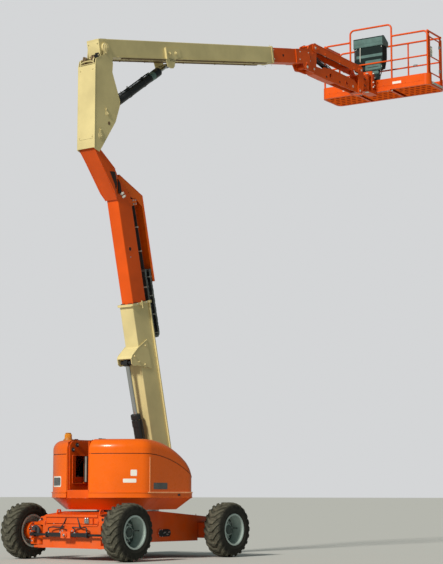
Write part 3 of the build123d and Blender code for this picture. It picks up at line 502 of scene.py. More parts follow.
SLOTS = {"steel": (zinc, pipe_pale, pipe_grey),
         "black_paint": (black, hose_rubber, seam_shadow, iron, teal_head),
         "orange_paint": (orange, orange_boom), "cream_paint": (cream,), "hood_plastic": (gel_coat, highlight_gel_bead),
         "rim_paint": (rim_shade, lit_rim_enamel), "console_plastic": (console_lid,), "amber": (amber, amber_foot)}
SLOT_OF = {finish: slot for slot, finishes in SLOTS.items() for finish in finishes}


def finished(name, form, body, finish, slot=None, angle=35, at=(0, 0, 0)):
    """Turns the bmesh into a piece that rides on a body and has a finish; it looks up the slot that goes with
    the finish but gives it to nothing.
    """
    bmesh.ops.dissolve_degenerate(form, edges=form.edges, dist=1e-6)
    bmesh.ops.recalc_face_normals(form, faces=form.faces)
    mesh = bpy.data.meshes.new(name)
    form.to_mesh(mesh)
    form.free()
    mesh.materials.append(finish)
    mesh.shade_smooth()
    mesh.set_sharp_from_angle(angle=radians(angle))
    made = bpy.data.objects.new(name, mesh)
    made.location = at
    bpy.context.scene.collection.objects.link(made)
    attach(made, body)
    slot = slot or SLOT_OF[finish]
    return made


# %% [markdown]
# ## Tyres
# These are rough-terrain tyres with 22 pairs of lugs. Each pair meets at the middle in a flat-bottomed V and
# climbs over the shoulders on to the sidewalls. A bump map would leave the outline round, and the lugs break
# the outline, so they are modelled: a turned carcass, and for each lug a bar with seven cross-sections that
# follow its path.

# %% Tyres
WHEEL_PLACES = {"front_left": (1.22, 1.065), "front_right": (1.22, -1.065), "rear_left": (-1.22, 1.065),
                "rear_right": (-1.22, -1.065)}
AXLE_HEIGHT = 0.44
LUGS = 22
CARCASS = [(0.238, -0.142), (0.256, -0.146), (0.262, -0.158), (0.275, -0.163), (0.3, -0.168),
           (0.303, -0.1705), (0.312, -0.1705), (0.315, -0.169), (0.345, -0.17), (0.372, -0.164),
           (0.394, -0.15), (0.407, -0.12), (0.413, -0.06), (0.415, 0)]
# each lug section: foot of the lug (outboard, radius), its top (outboard, radius), and how far it has turned
LUG_ROWS = [((-0.004, 0.405), (-0.004, 0.4398), 0), ((0.034, 0.405), (0.034, 0.4395), 0.005),
            ((0.06, 0.403), (0.062, 0.439), 0.075), ((0.1, 0.398), (0.104, 0.437), 0.185),
            ((0.132, 0.388), (0.145, 0.423), 0.27), ((0.148, 0.37), (0.165, 0.392), 0.305),
            ((0.155, 0.345), (0.1715, 0.356), 0.318)]


def add_lug(form, turn, side):
    """One lug on one side of the tread."""
    rows = []
    for row, (foot, top, sweep) in enumerate(LUG_ROWS):
        wear = 0.0015 * noise.noise(Vector((turn * 3, side * 2.0, row * 0.9)))
        middle = turn - sweep
        wide, narrow = (0.088, 0.06) if row < 4 else (0.08, 0.052)
        points = []
        for angle, share in ((-wide, 0), (-narrow - 0.012, 0.82), (-narrow, 1), (narrow, 1),
                             (narrow + 0.012, 0.82), (wide, 0)):
            out = foot[0] + (top[0] - foot[0]) * share
            r = foot[1] + (top[1] - foot[1]) * share + wear * share - 0.0015 * share
            t = middle + angle
            points.append(form.verts.new((-r * sin(t), side * out, r * cos(t))))
        rows.append(points)
    for low, high in zip(rows, rows[1:]):
        for k in range(6):
            form.faces.new((low[k], low[(k + 1) % 6], high[(k + 1) % 6], high[k]))
    form.faces.new(rows[0][::-1])
    form.faces.new(rows[-1])


tread = bmesh.new()
add_turned(tread, CARCASS + [(r, -h) for r, h in CARCASS[-2::-1]], aimed((0, 0, 0), LEFT), 96, ring=True)
for k in range(LUGS):
    for side in (-1, 1):
        add_lug(tread, 2 * pi * (k + 0.5) / LUGS, side)
for corner, (x, y) in WHEEL_PLACES.items():
    tyre = finished("tyre_tread_" + corner, tread.copy(), "wheel_" + corner, tyre_rubber, "tyre", 30,
                    (x, y, AXLE_HEIGHT))
    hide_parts("tyre_" + corner)
print("faces on each tyre:", len(tread.faces))
tread.free()

# %% [markdown]
# ## Wheel fittings
# Inside each deep rim sits the hub's drive, held by a ring of studs. The rims are plain pressings, and what
# tells the eye that they are real is the nuts, the valve and the bolts round the hub's cover. All of these
# turn with the wheel, so they ride on the wheel's body.

# %% Wheel fittings
DISC_FACE, HUB_FACE = -0.041, 0.039
for corner, (x, y) in WHEEL_PLACES.items():
    out = 1 if y > 0 else -1
    axle = aimed((x, y, AXLE_HEIGHT), (0, out, 0))
    studs = bmesh.new()
    for k in range(9):
        t = radians(40 * k + 90)
        at = (0.137 * cos(t), 0.137 * sin(t), DISC_FACE + 0.016)
        add_bolt(studs, at, UP, 0.017, axle)
        add_turned(studs, capped((0.007, 0.034), (0.005, 0.038)), axle @ Matrix.Translation(at), 10)
    finished("wheel_studs_" + corner, studs, "wheel_" + corner, zinc)
    # the hub cover and a ring over the disc take the rim paint's dark copy: painted shade deep in the dish
    cover = bmesh.new()
    add_turned(cover, [(0, DISC_FACE), (0.112, DISC_FACE), (0.112, DISC_FACE + 0.01),
                       (0.101, DISC_FACE + 0.014), (0.101, 0.012), (0.092, 0.024), (0.08, HUB_FACE + 0.001),
                       (0.04, HUB_FACE + 0.003), (0.036, HUB_FACE + 0.008),
                       (0, HUB_FACE + 0.008)], axle, 40)
    for k in range(6):
        t = radians(60 * k)
        add_bolt(cover, (0.06 * cos(t), 0.06 * sin(t), HUB_FACE + 0.002), UP, 0.009, axle)
    add_turned(cover, [(0.113, DISC_FACE + 0.0012), (0.172, DISC_FACE + 0.0012), (0.226, -0.0612),
                       (0.226, -0.064), (0.171, DISC_FACE - 0.002),
                       (0.113, DISC_FACE - 0.002)], axle, 60, ring=True)
    finished("wheel_cover_painted_shade_" + corner, cover, "wheel_" + corner, rim_shade)
    # the outer lip takes the rim paint's light copy: a painted highlight
    lip = bmesh.new()
    add_turned(lip, [(0.241, 0.128), (0.252, 0.133), (0.2545, 0.146), (0.252, 0.157), (0.243, 0.158),
                     (0.236, 0.15), (0.231, 0.13)], axle, 72, ring=True)
    finished("wheel_lip_painted_highlight_" + corner, lip, "wheel_" + corner, lit_rim_enamel)
    valve = bmesh.new()
    add_tube(valve, smooth_run([(0.205, 0.02, -0.035), (0.208, 0.02, 0), (0.214, 0.02, 0.03)]), 0.005, axle)
    add_turned(valve, capped((0.008, 0.018), (0.006, 0.022)),
               axle @ aimed((0.214, 0.02, 0.028), (0.2, 0, 1)), 12)
    finished("wheel_valve_" + corner, valve, "wheel_" + corner, hose_rubber, "rod")
print("wheel fittings on", len(WHEEL_PLACES), "wheels")

# %% [markdown]
# ## Steering axle and chassis fittings
# The steering end is the busiest place low on the machine: yokes with kingpin caps, forked arms, two
# cylinders with hoses, and lugs for lifting and tying down. The solid model carries the load-bearing shapes.
# What is added here is what a fitter would bolt, plug or weld on, and each piece rides on the body that it's
# fastened to.

# %% Lifting lugs, bolts and welds on the chassis
KINGPIN_X, KINGPIN_Y = -1.22, 0.76
lugs = bmesh.new()
for side in (-1, 1):
    rim_points = [(0.045 * cos(radians(a)) + 0.64, 0.045 * sin(radians(a)) + 0.622)
                  for a in range(-60, 121, 15)]
    shape = [(0.545, 0.545), (0.64, 0.545)] + rim_points + [(0.545, 0.7)]
    add_plate(lugs, [(side * a, b) for a, b in shape], 1.276, 1.3, Matrix.Rotation(radians(90), 4, "Z"),
              0.004)
    ring = Matrix.Translation((-1.301, side * 0.64, 0.622)) @ aimed((0, 0, 0), BACK)
    add_turned(lugs, [(0.022, -0.026), (0.032, -0.026), (0.032, 0.002), (0.03, 0.005), (0.024, 0.005),
                      (0.022, 0.002)], ring, 28, ring=True)
    for x in (-1.1, -0.35, 0.55, 1.05):
        add_box(lugs, (x, side * 0.55 - 0.004, 0.6), (x + 0.012, side * 0.55 + 0.004, 0.69), edge=0.002)
finished("lifting_lugs", lugs, "chassis", orange)

# dark discs in the lifting rings' eyes and in the side ports: painted shade
chassis_shade = bmesh.new()
for side in (-1, 1):
    add_disc(chassis_shade, 0.022, 0.0035, aimed((-1.3005, side * 0.64, 0.622), BACK), 24)
    add_disc(chassis_shade, 0.05, 0.004, sided(0.16, 0.54, 0.395, side), 28)
finished("chassis_painted_shade", chassis_shade, "chassis", black)

bolts = bmesh.new()
for k in range(32):
    t = 2 * pi * (k + 0.5) / 32
    add_bolt(bolts, (0.48 * cos(t), 0.48 * sin(t), 0.736), UP, 0.012)
for side in (-1, 1):
    for x, z in ((-1.185, 0.475), (-1.255, 0.475)):
        add_bolt(bolts, (x, side * 0.3, 0.552), UP, 0.013)
    for x in (-1.245, -1.195):
        for y in (0.05, 0.14):
            add_bolt(bolts, (x - 0.02, side * y, 0.5505), UP, 0.014)
    add_turned(bolts, [(0, 0), (0.026, 0), (0.03, 0.004), (0.03, 0.01), (0.024, 0.016), (0, 0.018)],
               aimed((KINGPIN_X, side * KINGPIN_Y, 0.592), UP), 24)
    add_bolt(bolts, (KINGPIN_X, side * KINGPIN_Y, 0.608), UP, 0.012)
    for a in range(0, 360, 60):
        add_bolt(bolts, (0.16 + 0.061 * cos(radians(a)), side * 0.564, 0.395 + 0.061 * sin(radians(a))),
                 (0, side, 0), 0.006)
finished("chassis_bolts", bolts, "chassis", zinc)

beads = bmesh.new()
for side in (-1, 1):
    y = side * 0.551
    add_weld(beads, [(-1.3, y, 0.69), (-0.9, y, 0.735), (0.1, y, 0.735), (1.34, y, 0.64), (1.53, y, 0.62)],
             radius=0.006)
    add_weld(beads, [(-0.8, y, 0.52), (-0.56, y, 0.265), (1.098, y, 0.265)], radius=0.006)
    add_weld(beads, [(-1.301, side * 0.55, 0.525), (-1.301, side * 0.55, 0.688)], radius=0.007)
    add_weld(beads, [(-1.312, side * 0.56, 0.186), (-1.312, side * 0.64, 0.186)], radius=0.006)
    add_weld(beads, [(1.13, side * 0.552, 0.3), (1.13, side * 0.552, 0.55)], radius=0.008)
    add_weld(beads, [(1.312, side * 0.552, 0.3), (1.312, side * 0.552, 0.55)], radius=0.008)
add_weld(beads, [(-1.301, -0.55, 0.69), (-1.301, 0.55, 0.69)], radius=0.006)
add_weld(beads, [(1.531, -0.55, 0.618), (1.531, 0.55, 0.618)], radius=0.006)
add_weld(beads, [(-1.281, -0.18, 0.552), (-1.281, 0.18, 0.552)], radius=0.007)
finished("chassis_welds", beads, "chassis", orange)
print("chassis fittings done")

# %% Steering valve block, plates and hoses
ledge = bmesh.new()
add_box(ledge, (-1.322, -0.545, 0.655), (-1.296, 0.545, 0.694), edge=0.004)
add_box(ledge, (-1.322, 0.13, 0.52), (-1.298, 0.4, 0.545), edge=0.004)
add_box(ledge, (-1.322, -0.545, 0.52), (-1.298, -0.25, 0.545), edge=0.004)
add_box(ledge, (-1.33, -0.46, 0.55), (-1.296, -0.24, 0.64), edge=0.006)
for side in (-1, 1):
    add_plate(ledge, [(-1.325, 0.535), (-1.325, 0.58), (-1.25, 0.69), (-1.235, 0.69), (-1.235, 0.535)],
              side * 0.556 - 0.006, side * 0.556 + 0.006, edge=0.003)
finished("axle_brackets", ledge, "chassis", orange)

valve_block = bmesh.new()
add_box(valve_block, (-1.352, -0.395, 0.568), (-1.328, -0.3, 0.628), edge=0.004)
for y in (-0.37, -0.325):
    add_turned(valve_block, capped((0.016, 0.02), (0.012, 0.026)), aimed((-1.34, y, 0.626), UP), 16)
    add_bolt(valve_block, (-1.352, y, 0.598), BACK, 0.009)
finished("steering_valve", valve_block, "chassis", zinc)

RODS_X = -1.4                        # the line of the steering rods
hoses = bmesh.new()
for side in (-1, 1):
    for lift, start in ((0.05, 0.15), (0.062, 0.4)):
        run = smooth_run([(RODS_X, side * start, 0.424), (RODS_X, side * start, 0.424 + lift),
                          (RODS_X + 0.02, side * (start - 0.06), 0.505), (RODS_X + 0.07, side * 0.2, 0.5),
                          (-1.31, side * 0.16, 0.56), (-1.302, side * 0.12, 0.64)], 8)
        add_tube(hoses, run, 0.01)
    add_turned(hoses, [(0.04, 0), (0.046, 0.004), (0.046, 0.03), (0.036, 0.036), (0.034, 0.036), (0.034, 0)],
               sided(RODS_X, 0.405, 0.39, side), 28, ring=True)
finished("steering_hoses", hoses, "chassis", hose_rubber)

ports = bmesh.new()
for side in (-1, 1):
    for start in (0.15, 0.4):
        add_turned(ports, capped((0.017, 0.014), (0.012, 0.018), (0.012, 0.03)),
                   aimed((RODS_X, side * start, 0.416), UP), 6)
    add_bolt(ports, (RODS_X, side * 0.1, 0.445), UP, 0.014)
add_turned(ports, capped((0.02, 0.004), (0.012, 0.008)), aimed((-1.486, 0, 0.39), BACK), 24)
finished("steering_ports", ports, "chassis", zinc)
print("steering fittings done")

# %% Hub fittings on the knuckles
for name, side in (("left", 1), ("right", -1)):
    motor = bmesh.new()
    add_turned(motor, [(0, -0.075), (0.062, -0.075), (0.07, -0.068), (0.07, -0.01), (0.09, -0.002),
                       (0.09, 0.018), (0, 0.018)],
               aimed((KINGPIN_X - 0.09, side * KINGPIN_Y, AXLE_HEIGHT), BACK), 32)
    add_box(motor, (-1.372, side * KINGPIN_Y - 0.036, 0.425), (-1.332, side * KINGPIN_Y + 0.036, 0.5),
            edge=0.005)
    finished("drive_motor_" + name, motor, "hub_" + name, iron)
    caps = bmesh.new()
    for k in range(12):
        t = radians(30 * k + 15)
        add_bolt(caps, (KINGPIN_X + 0.124 * cos(t), side * 0.87, AXLE_HEIGHT + 0.124 * sin(t)), (0, -side, 0),
                 0.009)
    for z in (0.347, 0.433):
        add_bolt(caps, (-1.43, side * KINGPIN_Y, z), UP if z > 0.4 else DOWN, 0.013)
    for z in (0.285, 0.5):
        add_bolt(caps, (-1.312, side * 0.85, z), BACK, 0.012)
    finished("hub_bolts_" + name, caps, "hub_" + name, zinc)
print("hub fittings done")

# %% Side ports
# a black oval plate on each side stands for the side opening: painted shade
ports = bmesh.new()
slot = [(0.25 + 0.058 * cos(radians(a)) + (0.095 if -90 < a <= 90 else -0.095),
         0.395 + 0.058 * sin(radians(a)))
        for a in range(-90, 270, 15)]
fittings = bmesh.new()
for side in (-1, 1):
    low, high = sorted((side * 0.5515, side * 0.565))
    add_plate(ports, slot, low, high, edge=0.003)
    for x, z in ((0.3, 0.375), (0.345, 0.41), (0.235, 0.405)):
        add_turned(fittings, capped((0.017, 0.012), (0.011, 0.018), (0.011, 0.03)),
                   sided(x, 0.564, z, side), 6)
finished("side_port_painted_shade", ports, "chassis", black)
finished("side_port_fittings", fittings, "chassis", zinc)

# %% [markdown]
# ## Hood trim, labels and the beacon
# Trim on a curved moulding has to lie on its surface, and typing those positions by hand would never fit.
# Instead, a ray is cast at the hood from outside and the piece is laid where it lands, as a sticker is
# smoothed on by hand. The plan outline is the same arc, side and corners that the hoods were drawn with.

# %% Casting on to a surface
def landing(node, start, direction, lift=0):
    """Where a ray meets a solid node, raised off it by lift."""
    found, place, normal, _ = NODES[node].ray_cast(Vector(start), Vector(direction).normalized())
    return place + normal * lift if found else None


def hood_plan(inset=0, steps=14):
    """Points and outward directions along the right hood's lower edge, from the channel to the front."""
    tail, side, front = 1.205 - inset, 1.0 - inset, 0.5 - inset
    r_tail, r_front = 0.26 - inset, 0.18 - inset
    reach, wide = tail - r_tail, side - r_tail
    centre = (-sqrt(reach ** 2 - wide ** 2), -wide)
    join_angle = atan2(centre[1], centre[0])
    first = -pi + 0.238 / tail
    points = []
    for k in range(steps + 1):
        t = first + (join_angle - first) * k / steps
        points.append(((tail * cos(t), tail * sin(t)), (cos(t), sin(t))))
    for k in range(1, steps + 1):
        t = join_angle + (-pi / 2 - join_angle) * k / steps
        points.append(((centre[0] + r_tail * cos(t), centre[1] + r_tail * sin(t)), (cos(t), sin(t))))
    for k in range(1, steps + 1):
        x = centre[0] + (front - r_front - centre[0]) * k / steps
        points.append(((x, -side), (0, -1)))
    for k in range(1, steps + 1):
        t = -pi / 2 * (1 - k / steps)
        points.append(((front - r_front + r_front * cos(t), -(side - r_front) + r_front * sin(t)),
                       (cos(t), sin(t))))
    points.append(((front, -0.24), (1, 0)))
    return points


print("hood outline points:", len(hood_plan()))

# %% Skirt bead, groove seal and hinges
for name, flip in (("right", 1), ("left", -1)):
    node = "hood_" + name
    # the bead along the skirt's side and the bead up the tail corner are paler than the hood: a painted
    # highlight
    bead = bmesh.new()
    edge_run = [(x, flip * y) for (x, y), _ in hood_plan(-0.0125)]
    add_tube(bead, [(x, y, 1.0345) for x, y in edge_run if x > -0.68], 0.0105, sides=10)
    corner_spot = [landing(node, (-1.0, flip * -1.4, z), (0.37, flip * 0.4, 0), 0.002)
                   for z in (1.046, 1.1, 1.2, 1.3, 1.4, 1.5, 1.58)]
    add_tube(bead, corner_spot, 0.0045, sides=8)
    finished(node + "_painted_highlight_edge", bead, node, highlight_gel_bead)
    roll = bmesh.new()
    add_tube(roll, [(x, y, 1.0345) for x, y in edge_run if x <= -0.66], 0.0095, sides=10)
    add_tube(roll, [(x, y, 0.9585) for x, y in edge_run], 0.0065, sides=10)
    finished(node + "_rolled_edge", roll, node, gel_coat)
    seal = bmesh.new()
    run = []
    for (x, y), (nx, ny) in hood_plan(0, 26):
        fall = 0 if x < -0.75 else 2.18 - sqrt(2.18 ** 2 - (x + 0.75) ** 2)
        height = 1.631 - fall
        spot = landing(node, (x + nx * 0.3, flip * (y + ny * 0.3), height), (-nx, -flip * ny, 0), 0.0015)
        if spot is not None and (not run or (spot - run[-1]).length < 0.22):
            run.append(spot)
    add_tube(seal, run, 0.0042, sides=8)
    finished(node + "_groove_seal", seal, node, seam_dark, "hood_plastic")
    latch = bmesh.new()
    add_box(latch, (0.03, flip * -1.0125 - 0.005, 0.982), (0.09, flip * -1.0125 + 0.005, 1.012), edge=0.005)
    add_turned(latch, capped((0.013, 0.006), (0.01, 0.009)),
               aimed((0.06, flip * -1.016, 0.997), (0, -flip, 0)), 20)
    for x in (-0.95, -0.55):
        top = landing(node, (x, flip * -0.3, 2.2), DOWN).z
        add_box(latch, (x - 0.035, flip * -0.3 - 0.045, top - 0.004),
                (x + 0.035, flip * -0.3 + 0.045, top + 0.007))
        add_tube(latch, [(x - 0.035, flip * -0.256, top + 0.006), (x + 0.035, flip * -0.256, top + 0.006)],
                 0.008)
    finished(node + "_latches", latch, node, black)
print("hood trim done")


# %% Stickers
def add_sticker(form, node, centre, outward, width, height, thick=0.0016, columns=12, rows=6, corner=0.15):
    """Thin rounded sheet laid on a node's surface, seen from outward."""
    look = Vector(outward).normalized()
    across = Vector((-look.y, look.x, 0)).normalized()
    rise = look.cross(across)
    rise = -rise if rise.z < 0 else rise
    middle = Vector(centre)
    sheets = []
    for lift in (-0.001, thick):
        grid = []
        for j in range(rows + 1):
            v = (j / rows - 0.5) * 2
            pull = corner * height / width * max(0, (abs(v) - 0.6) / 0.4) ** 2
            grid.append([])
            for i in range(columns + 1):
                u = (i / columns - 0.5) * 2 * (1 - pull)
                start = middle + across * (u * width / 2) + rise * (v * height / 2) + look * 0.25
                spot = landing(node, start, -look, lift)
                grid[-1].append(form.verts.new(spot if spot is not None else start - look * 0.25))
        sheets.append(grid)
    below, above = sheets
    for j in range(rows):
        for i in range(columns):
            form.faces.new((above[j][i], above[j][i + 1], above[j + 1][i + 1], above[j + 1][i]))
            form.faces.new((below[j][i], below[j + 1][i], below[j + 1][i + 1], below[j][i + 1]))
    around = ([(0, i) for i in range(columns)] + [(j, columns) for j in range(rows)]
              + [(rows, i) for i in range(columns, 0, -1)] + [(j, 0) for j in range(rows, 0, -1)])
    for (j, i), (n, m) in zip(around, around[1:] + around[:1]):
        form.faces.new((below[j][i], below[n][m], above[n][m], above[j][i]))


pale = bmesh.new()
add_sticker(pale, "hood_right", (-0.84, -0.852, 1.335), (-0.7, -0.71, 0), 0.1, 0.095)
add_sticker(pale, "hood_right", (-0.885, -0.81, 1.215), (-0.73, -0.68, 0), 0.205, 0.06)
finished("hood_right_pale_labels", pale, "hood_right", label_white, "hood_plastic")
dark = bmesh.new()
add_sticker(dark, "hood_right", (-0.376, -1.0, 1.135), RIGHT, 0.33, 0.1)
finished("hood_right_dark_label", dark, "hood_right", label_dark, "hood_plastic")
pale = bmesh.new()
add_sticker(pale, "hood_left", (-1.06, 0.56, 1.205), (-0.88, 0.47, 0), 0.36, 0.165)
add_sticker(pale, "hood_left", (0.1, 1.0, 1.24), LEFT, 0.2, 0.12)
finished("hood_left_pale_labels", pale, "hood_left", label_white, "hood_plastic")
dark = bmesh.new()
add_sticker(dark, "hood_left", (-1.06, 0.56, 1.205), (-0.88, 0.47, 0), 0.32, 0.125, thick=0.003)
add_sticker(dark, "hood_left", (-0.376, 1.0, 1.135), LEFT, 0.33, 0.1)
finished("hood_left_dark_labels", dark, "hood_left", label_dark, "hood_plastic")
print("stickers laid")

# %% Cooling louvres on the engine side
louvres = bmesh.new()
for bank in (-0.52, -0.16):
    for k in range(7):
        z = 1.24 + 0.03 * k
        add_plate(louvres, [(z - 0.001, 0.994), (z + 0.012, 0.998), (z + 0.015, 1.009), (z + 0.011, 1.0105)],
                  bank, bank + 0.28, Matrix(((0, 1, 0, 0), (0, 0, 1, 0), (1, 0, 0, 0), (0, 0, 0, 1))))
finished("hood_left_louvres", louvres, "hood_left", gel_coat)

# %% Beacon
# The lens is ribbed like a jelly mould, so that it glints from all round, and it stands on a rubber foot.
beacon_x, beacon_y, beacon_z = -0.88, 0.5, 1.858
lens = bmesh.new()
lens_rows = [(0.054, 0.024), (0.056, 0.032), (0.056, 0.082), (0.052, 0.096), (0.04, 0.104), (0, 0.106)]
rings = []
for radius, height in lens_rows:
    if radius == 0:
        rings.append([lens.verts.new((beacon_x, beacon_y, beacon_z + height))])
        continue
    rings.append([lens.verts.new((beacon_x + (radius + 0.0022 * cos(24 * t)) * cos(t),
                                  beacon_y + (radius + 0.0022 * cos(24 * t)) * sin(t), beacon_z + height))
                  for t in (2 * pi * k / 96 for k in range(96))])
for low, high in zip(rings, rings[1:]):
    for k in range(96):
        n = (k + 1) % 96
        lens.faces.new((low[k], low[n], high[0]) if len(high) == 1 else (low[k], low[n], high[n], high[k]))
lens.faces.new(rings[0][::-1])
beacon_lens = finished("beacon_lens", lens, "hood_left", amber, angle=60)
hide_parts("beacon")
foot = bmesh.new()
add_turned(foot, [(0, -0.004), (0.078, -0.004), (0.08, 0.004), (0.076, 0.014), (0.064, 0.02), (0.062, 0.028),
                  (0.057, 0.03), (0, 0.03)], aimed((beacon_x, beacon_y, beacon_z), UP), 48)
add_turned(foot, [(0, 0.104), (0.044, 0.104), (0.046, 0.11), (0.04, 0.119), (0, 0.121)],
           aimed((beacon_x, beacon_y, beacon_z), UP), 48)
finished("beacon_foot", foot, "hood_left", amber_foot)
print("beacon done")

# %% [markdown]
# ## Inside the turntable
# With the booms up, the channel between the hoods stands open, and its walls show a window filled with
# painted shade, clamps and hoses. With a hood lifted, the engine and tanks show too. The engine is a plain
# block in the solid model, so its cover, belts, filter and exhaust are added here, close round that block, in
# the little space the hood leaves.

# %% Channel walls
TOWER_FOOT = (0.74, 1.45)            # centre (x, z) of the pin at the tower's foot
# a dark plate in each wall's window: painted shade
window_shade = bmesh.new()
for side in (-1, 1):
    low, high = sorted((side * 0.199, side * 0.1965))
    add_plate(window_shade, [(-0.835, 1.195), (-0.62, 1.195), (-0.6, 1.215), (-0.6, 1.585), (-0.62, 1.605),
                       (-0.835, 1.605)], low, high)
finished("channel_window_shade", window_shade, "turntable", seam_shadow)
strip = bmesh.new()
for side in (-1, 1):
    for x, wide in ((-0.795, 0.02), (-0.735, 0.009)):
        add_tube(strip, straight((x, side * 0.186, 1.2), (x, side * 0.186, 1.6)), wide, sides=14)
finished("channel_pipes", strip, "turntable", pipe_grey)
frame_strips = bmesh.new()
for side in (-1, 1):
    y = side * 0.196
    corners = [(-1.092, y, 1.176), (-0.594, y, 1.176), (-0.594, y, 1.612), (-1.092, y, 1.612),
               (-1.092, y, 1.176)]
    add_weld(frame_strips, corners, radius=0.006)
    add_weld(frame_strips, [(-1.15, side * 0.208, 1.085), (-1.15, side * 0.208, 1.768),
                            (-1.1, side * 0.208, 1.828), (-0.56, side * 0.208, 1.83), (0, side * 0.208, 1.7),
                            (0.43, side * 0.208, 1.54)],
             radius=0.007)
    add_box(frame_strips, (0.3, side * 0.226 - 0.01, 0.83), (0.32, side * 0.226 + 0.01, 1.48), edge=0.003)
finished("channel_welds", frame_strips, "turntable", orange)
rollers = bmesh.new()
for side in (-1, 1):
    for x, z in ((-1.09, 1.7), (-1.0, 1.775)):
        add_turned(rollers, [(0, 0), (0.03, 0), (0.034, 0.004), (0.034, 0.016), (0.026, 0.022),
                             (0.012, 0.022), (0.012, 0.027),
                             (0, 0.027)], aimed((x, side * 0.2, z), (0, -side, 0)), 28)
finished("channel_rollers", rollers, "turntable", black)
roller_bolts = bmesh.new()
for side in (-1, 1):
    for x, z in ((-1.09, 1.7), (-1.0, 1.775)):
        add_bolt(roller_bolts, (x, side * 0.173, z), (0, -side, 0), 0.01)
    for k in range(8):
        t = radians(45 * k + 20)
        place = (TOWER_FOOT[0] + 0.072 * cos(t), side * 0.2405, TOWER_FOOT[1] + 0.072 * sin(t))
        add_bolt(roller_bolts, place, (0, side, 0), 0.01)
    add_turned(roller_bolts, capped((0.048, 0.004), (0.04, 0.008)),
               sided(TOWER_FOOT[0], 0.2455, TOWER_FOOT[1], side), 32)
finished("turntable_bolts", roller_bolts, "turntable", zinc)
print("channel dressed")

# %% Hoses along the channel floor, up to the tower
pipes = bmesh.new()
for k, y in enumerate((-0.15, -0.12, 0.12, 0.15)):
    add_tube(pipes, smooth_run([(-0.4, y, 0.962), (0, y, 0.964), (0.3, y, 0.962), (0.55, y, 0.964),
                                (0.86, y, 0.968), (0.905, y, 1.02)], 6), 0.011 + 0.002 * (k % 2))
finished("channel_hoses", pipes, "turntable", hose_rubber)

# %% Engine
engine = bmesh.new()
for k in range(9):
    x = -0.38 + 0.07 * k
    add_box(engine, (x, 0.79, 0.9), (x + 0.03, 0.806, 1.15), edge=0.004)
add_box(engine, (-0.36, 0.42, 1.372), (0.2, 0.56, 1.44), edge=0.02)
for k in range(4):
    add_turned(engine, capped((0.028, 0.016), (0.016, 0.022)), aimed((-0.29 + 0.14 * k, 0.49, 1.438), UP), 20)
add_box(engine, (-0.36, 0.64, 1.2), (0.18, 0.83, 1.26), edge=0.01)
add_box(engine, (-0.405, 0.38, 0.798), (0.245, 0.78, 0.83), edge=0.006)
for x in (-0.3, 0.14):
    add_box(engine, (x, 0.3, 0.8), (x + 0.08, 0.335, 0.9), edge=0.006)
finished("engine_ribs", engine, "turntable", iron, "engine_iron")
drive = bmesh.new()
for y, z, r in ((0.5, 1.0, 0.09), (0.64, 1.22, 0.06), (0.44, 1.29, 0.07)):
    add_turned(drive, [(0, 0), (r, 0), (r + 0.006, 0.006), (r - 0.006, 0.016), (r + 0.006, 0.026), (r, 0.032),
                       (r * 0.5, 0.032), (r * 0.4, 0.02), (0, 0.02)], aimed((0.25, y, z), AHEAD), 32)
finished("engine_pulleys", drive, "turntable", zinc)
belt = bmesh.new()
loop = [(0.266, 0.5 - 0.088, 0.98), (0.266, 0.44 - 0.071, 1.29), (0.266, 0.44, 1.361), (0.266, 0.505, 1.33),
        (0.266, 0.695, 1.245), (0.266, 0.7, 1.2), (0.266, 0.59, 0.985), (0.266, 0.54, 0.92),
        (0.266, 0.46, 0.918), (0.266, 0.412, 0.98)]
add_tube(belt, smooth_run(loop, 5), 0.009)
for start, end in (((-0.39, 0.45, 1.36), (-0.3, 0.3, 1.15)), ((-0.39, 0.6, 1.3), (-0.3, 0.3, 1.05))):
    middle = Vector(start).lerp(Vector(end), 0.5) + Vector((-0.03, 0, 0.06))
    add_tube(belt, smooth_run([start, middle, end], 8), 0.014)
finished("engine_belt_and_hoses", belt, "turntable", hose_rubber)
breather = bmesh.new()
add_turned(breather, [(0, 0), (0.068, 0), (0.075, 0.012), (0.075, 0.24), (0.068, 0.252), (0.05, 0.252),
                      (0.05, 0.268), (0, 0.268)], aimed((-0.34, 0.68, 1.43), AHEAD), 36)
for x in (-0.3, -0.18):
    add_turned(breather, [(0.0755, 0), (0.079, 0.003), (0.079, 0.015), (0.0755, 0.018)],
               aimed((x, 0.68, 1.43), AHEAD), 36, ring=True)
finished("air_filter", breather, "turntable", black_plastic, "black_paint")
exhaust = bmesh.new()
add_turned(exhaust, [(0, 0), (0.04, 0), (0.052, 0.012), (0.052, 0.2), (0.04, 0.212), (0, 0.212)],
           aimed((0.02, 0.64, 1.47), AHEAD), 32)
add_tube(exhaust, smooth_run([(0.12, 0.62, 1.4), (0.12, 0.63, 1.44), (0.1, 0.64, 1.465)], 6), 0.024, sides=14)
finished("exhaust_muffler", exhaust, "turntable", zinc)
print("engine dressed")

# %% Tank caps, straps and the valve bank
straps = bmesh.new()
for low, high, top in ((-0.412, -0.058, 1.33), (-0.022, 0.292, 1.24)):
    middle = (low + high) / 2
    for x in (middle - 0.085, middle + 0.085):
        for z0, z1, y0, y1 in ((0.8, top + 0.003, -0.7985, -0.7945), (0.8, top + 0.003, -0.3605, -0.3565),
                               (top, top + 0.004, -0.798, -0.357)):
            add_box(straps, (x - 0.015, y0, z0), (x + 0.015, y1, z1), edge=0.001)
        add_bolt(straps, (x, -0.7985, top - 0.1), RIGHT, 0.009)
finished("tank_straps", straps, "turntable", zinc)
caps = bmesh.new()
for x, top in ((-0.235, 1.33), (0.135, 1.24)):
    add_turned(caps, capped((0.04, 0.01), (0.048, 0.014), (0.048, 0.034), (0.042, 0.04)),
               aimed((x, -0.67, top), UP), 36)
    for k in range(12):
        t = radians(30 * k)
        add_box(caps, (x + 0.0465 * cos(t) - 0.003, -0.67 + 0.0465 * sin(t) - 0.003, top + 0.014),
                (x + 0.0465 * cos(t) + 0.003, -0.67 + 0.0465 * sin(t) + 0.003, top + 0.034), edge=0.001)
finished("tank_caps", caps, "turntable", black)
bank = bmesh.new()
